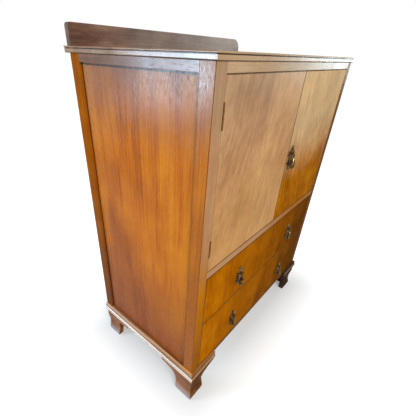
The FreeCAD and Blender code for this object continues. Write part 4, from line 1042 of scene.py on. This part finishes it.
def seen_share(net):
    """One for a ray of the camera, and a little for a ray that mirrors."""
    sight = net.add("ShaderNodeLightPath").outputs
    mirrored = net.math("MULTIPLY", sight["Is Glossy Ray"], GLOSSY_SHARE)
    return net.math("ADD", sight["Is Camera Ray"], mirrored)


def add_floor():
    bpy.ops.object.select_all(action="DESELECT")
    bpy.ops.mesh.primitive_plane_add(size=FLOOR_SIZE, location=(0, 0, 0))
    floor = bpy.context.object
    floor.name = "floor"
    material, net = new_material("floor_paper")
    matt = net.add("ShaderNodeBsdfDiffuse", {"Color": FLOOR_GREY})
    place = net.add("ShaderNodeTexCoord").outputs["Object"]
    flat = net.vector("MULTIPLY", place, (1.0, 1.0, 0.0))
    across = net.add("ShaderNodeVectorMath", {0: flat}, operation="ABSOLUTE").outputs["Vector"]
    outside = net.vector("MAXIMUM", net.vector("SUBTRACT", across, FOOTPRINT), (0.0, 0.0, 0.0))
    reach = net.add("ShaderNodeVectorMath", {0: outside}, operation="LENGTH").outputs["Value"]
    # Less glow close to the base paints a shadow there.
    far = net.ramp(reach, 0.0, PAINTED_SHADOW_WIDTH, GLOW_IN_PAINTED_SHADOW, GLOW_FAR)
    glow = net.math("MULTIPLY", seen_share(net), far)
    white = net.add("ShaderNodeEmission", {"Color": WHITE, "Strength": glow})
    both = net.add("ShaderNodeAddShader", {0: matt.outputs[0], 1: white.outputs[0]})
    net.add("ShaderNodeOutputMaterial", {"Surface": both.outputs[0]})
    floor.data.materials.append(material)
    return floor


print(add_floor().name, FLOOR_SIZE, "metres wide")

# %% [markdown]
# ## Light
#
# The world is a soft white room, which the camera sees as plain white. Four lamps stand in it, and
# all are area lamps, because a small lamp would draw hard shadows. The window lamp stands far back
# on the left and is mirrored in the polish of the side, and the glint lamp lights the corner of the
# top. A small lamp on the right rounds off the right side, and a broad one in front lights the
# doors and drawers.

# %% World
ROOM_COLOR = (0.97, 0.98, 1.0, 1)
ROOM_STRENGTH = 0.38

bpy.context.scene.view_settings.view_transform = "Standard"


def set_world():
    world = bpy.data.worlds.new("studio")
    world.use_nodes = True
    world.node_tree.nodes.clear()
    net = Network(world.node_tree)
    room = net.add("ShaderNodeBackground", {"Color": ROOM_COLOR, "Strength": ROOM_STRENGTH})
    white = net.add("ShaderNodeBackground", {"Color": WHITE, "Strength": 1.0})
    shown = {0: seen_share(net), 1: room.outputs[0], 2: white.outputs[0]}
    mixed = net.add("ShaderNodeMixShader", shown)
    net.add("ShaderNodeOutputWorld", {"Surface": mixed.outputs[0]})
    bpy.context.scene.world = world
    return world


print("world", set_world().name)


# %% Lamps
def add_lamp(name, spot, target, size, power, color, spread=180):
    """A rectangle of light, its width and height in metres and its power in watts."""
    data = bpy.data.lights.new(name, "AREA")
    data.shape = "RECTANGLE"
    data.size, data.size_y = size
    data.energy = power
    data.color = color
    data.spread = math.radians(spread)
    lamp = bpy.data.objects.new(name, data)
    bpy.context.collection.objects.link(lamp)
    lamp.location = spot
    lamp.rotation_euler = (Vector(target) - Vector(spot)).to_track_quat("-Z", "Y").to_euler()
    print(name, "at", spot, "with", power, "watts")


add_lamp(
    "window_lamp", spot=(-2.4, 1.6, 1.0), target=(-0.4, -0.1, 1.0), size=(0.8, 0.62), power=50,
    color=(0.6, 0.8, 1.0),
)
add_lamp(
    "glint_lamp", spot=(-2.4, 1.2, 1.1), target=(-0.46, -0.2, 1.17), size=(0.3, 0.5), power=9,
    color=(0.62, 0.86, 1.0),
)
add_lamp(
    "side_lamp", spot=(2.6, -0.95, 1.2), target=(0.3, -0.2, 1.1), size=(0.6, 0.4), power=6,
    color=(0.76, 0.95, 1.0),
)
add_lamp(
    "front_lamp", spot=(-1.5, -2.4, 2.3), target=(-0.1, -0.1, 0.6), size=(1.6, 1.4), power=26,
    color=(1.0, 0.97, 0.92), spread=90,
)
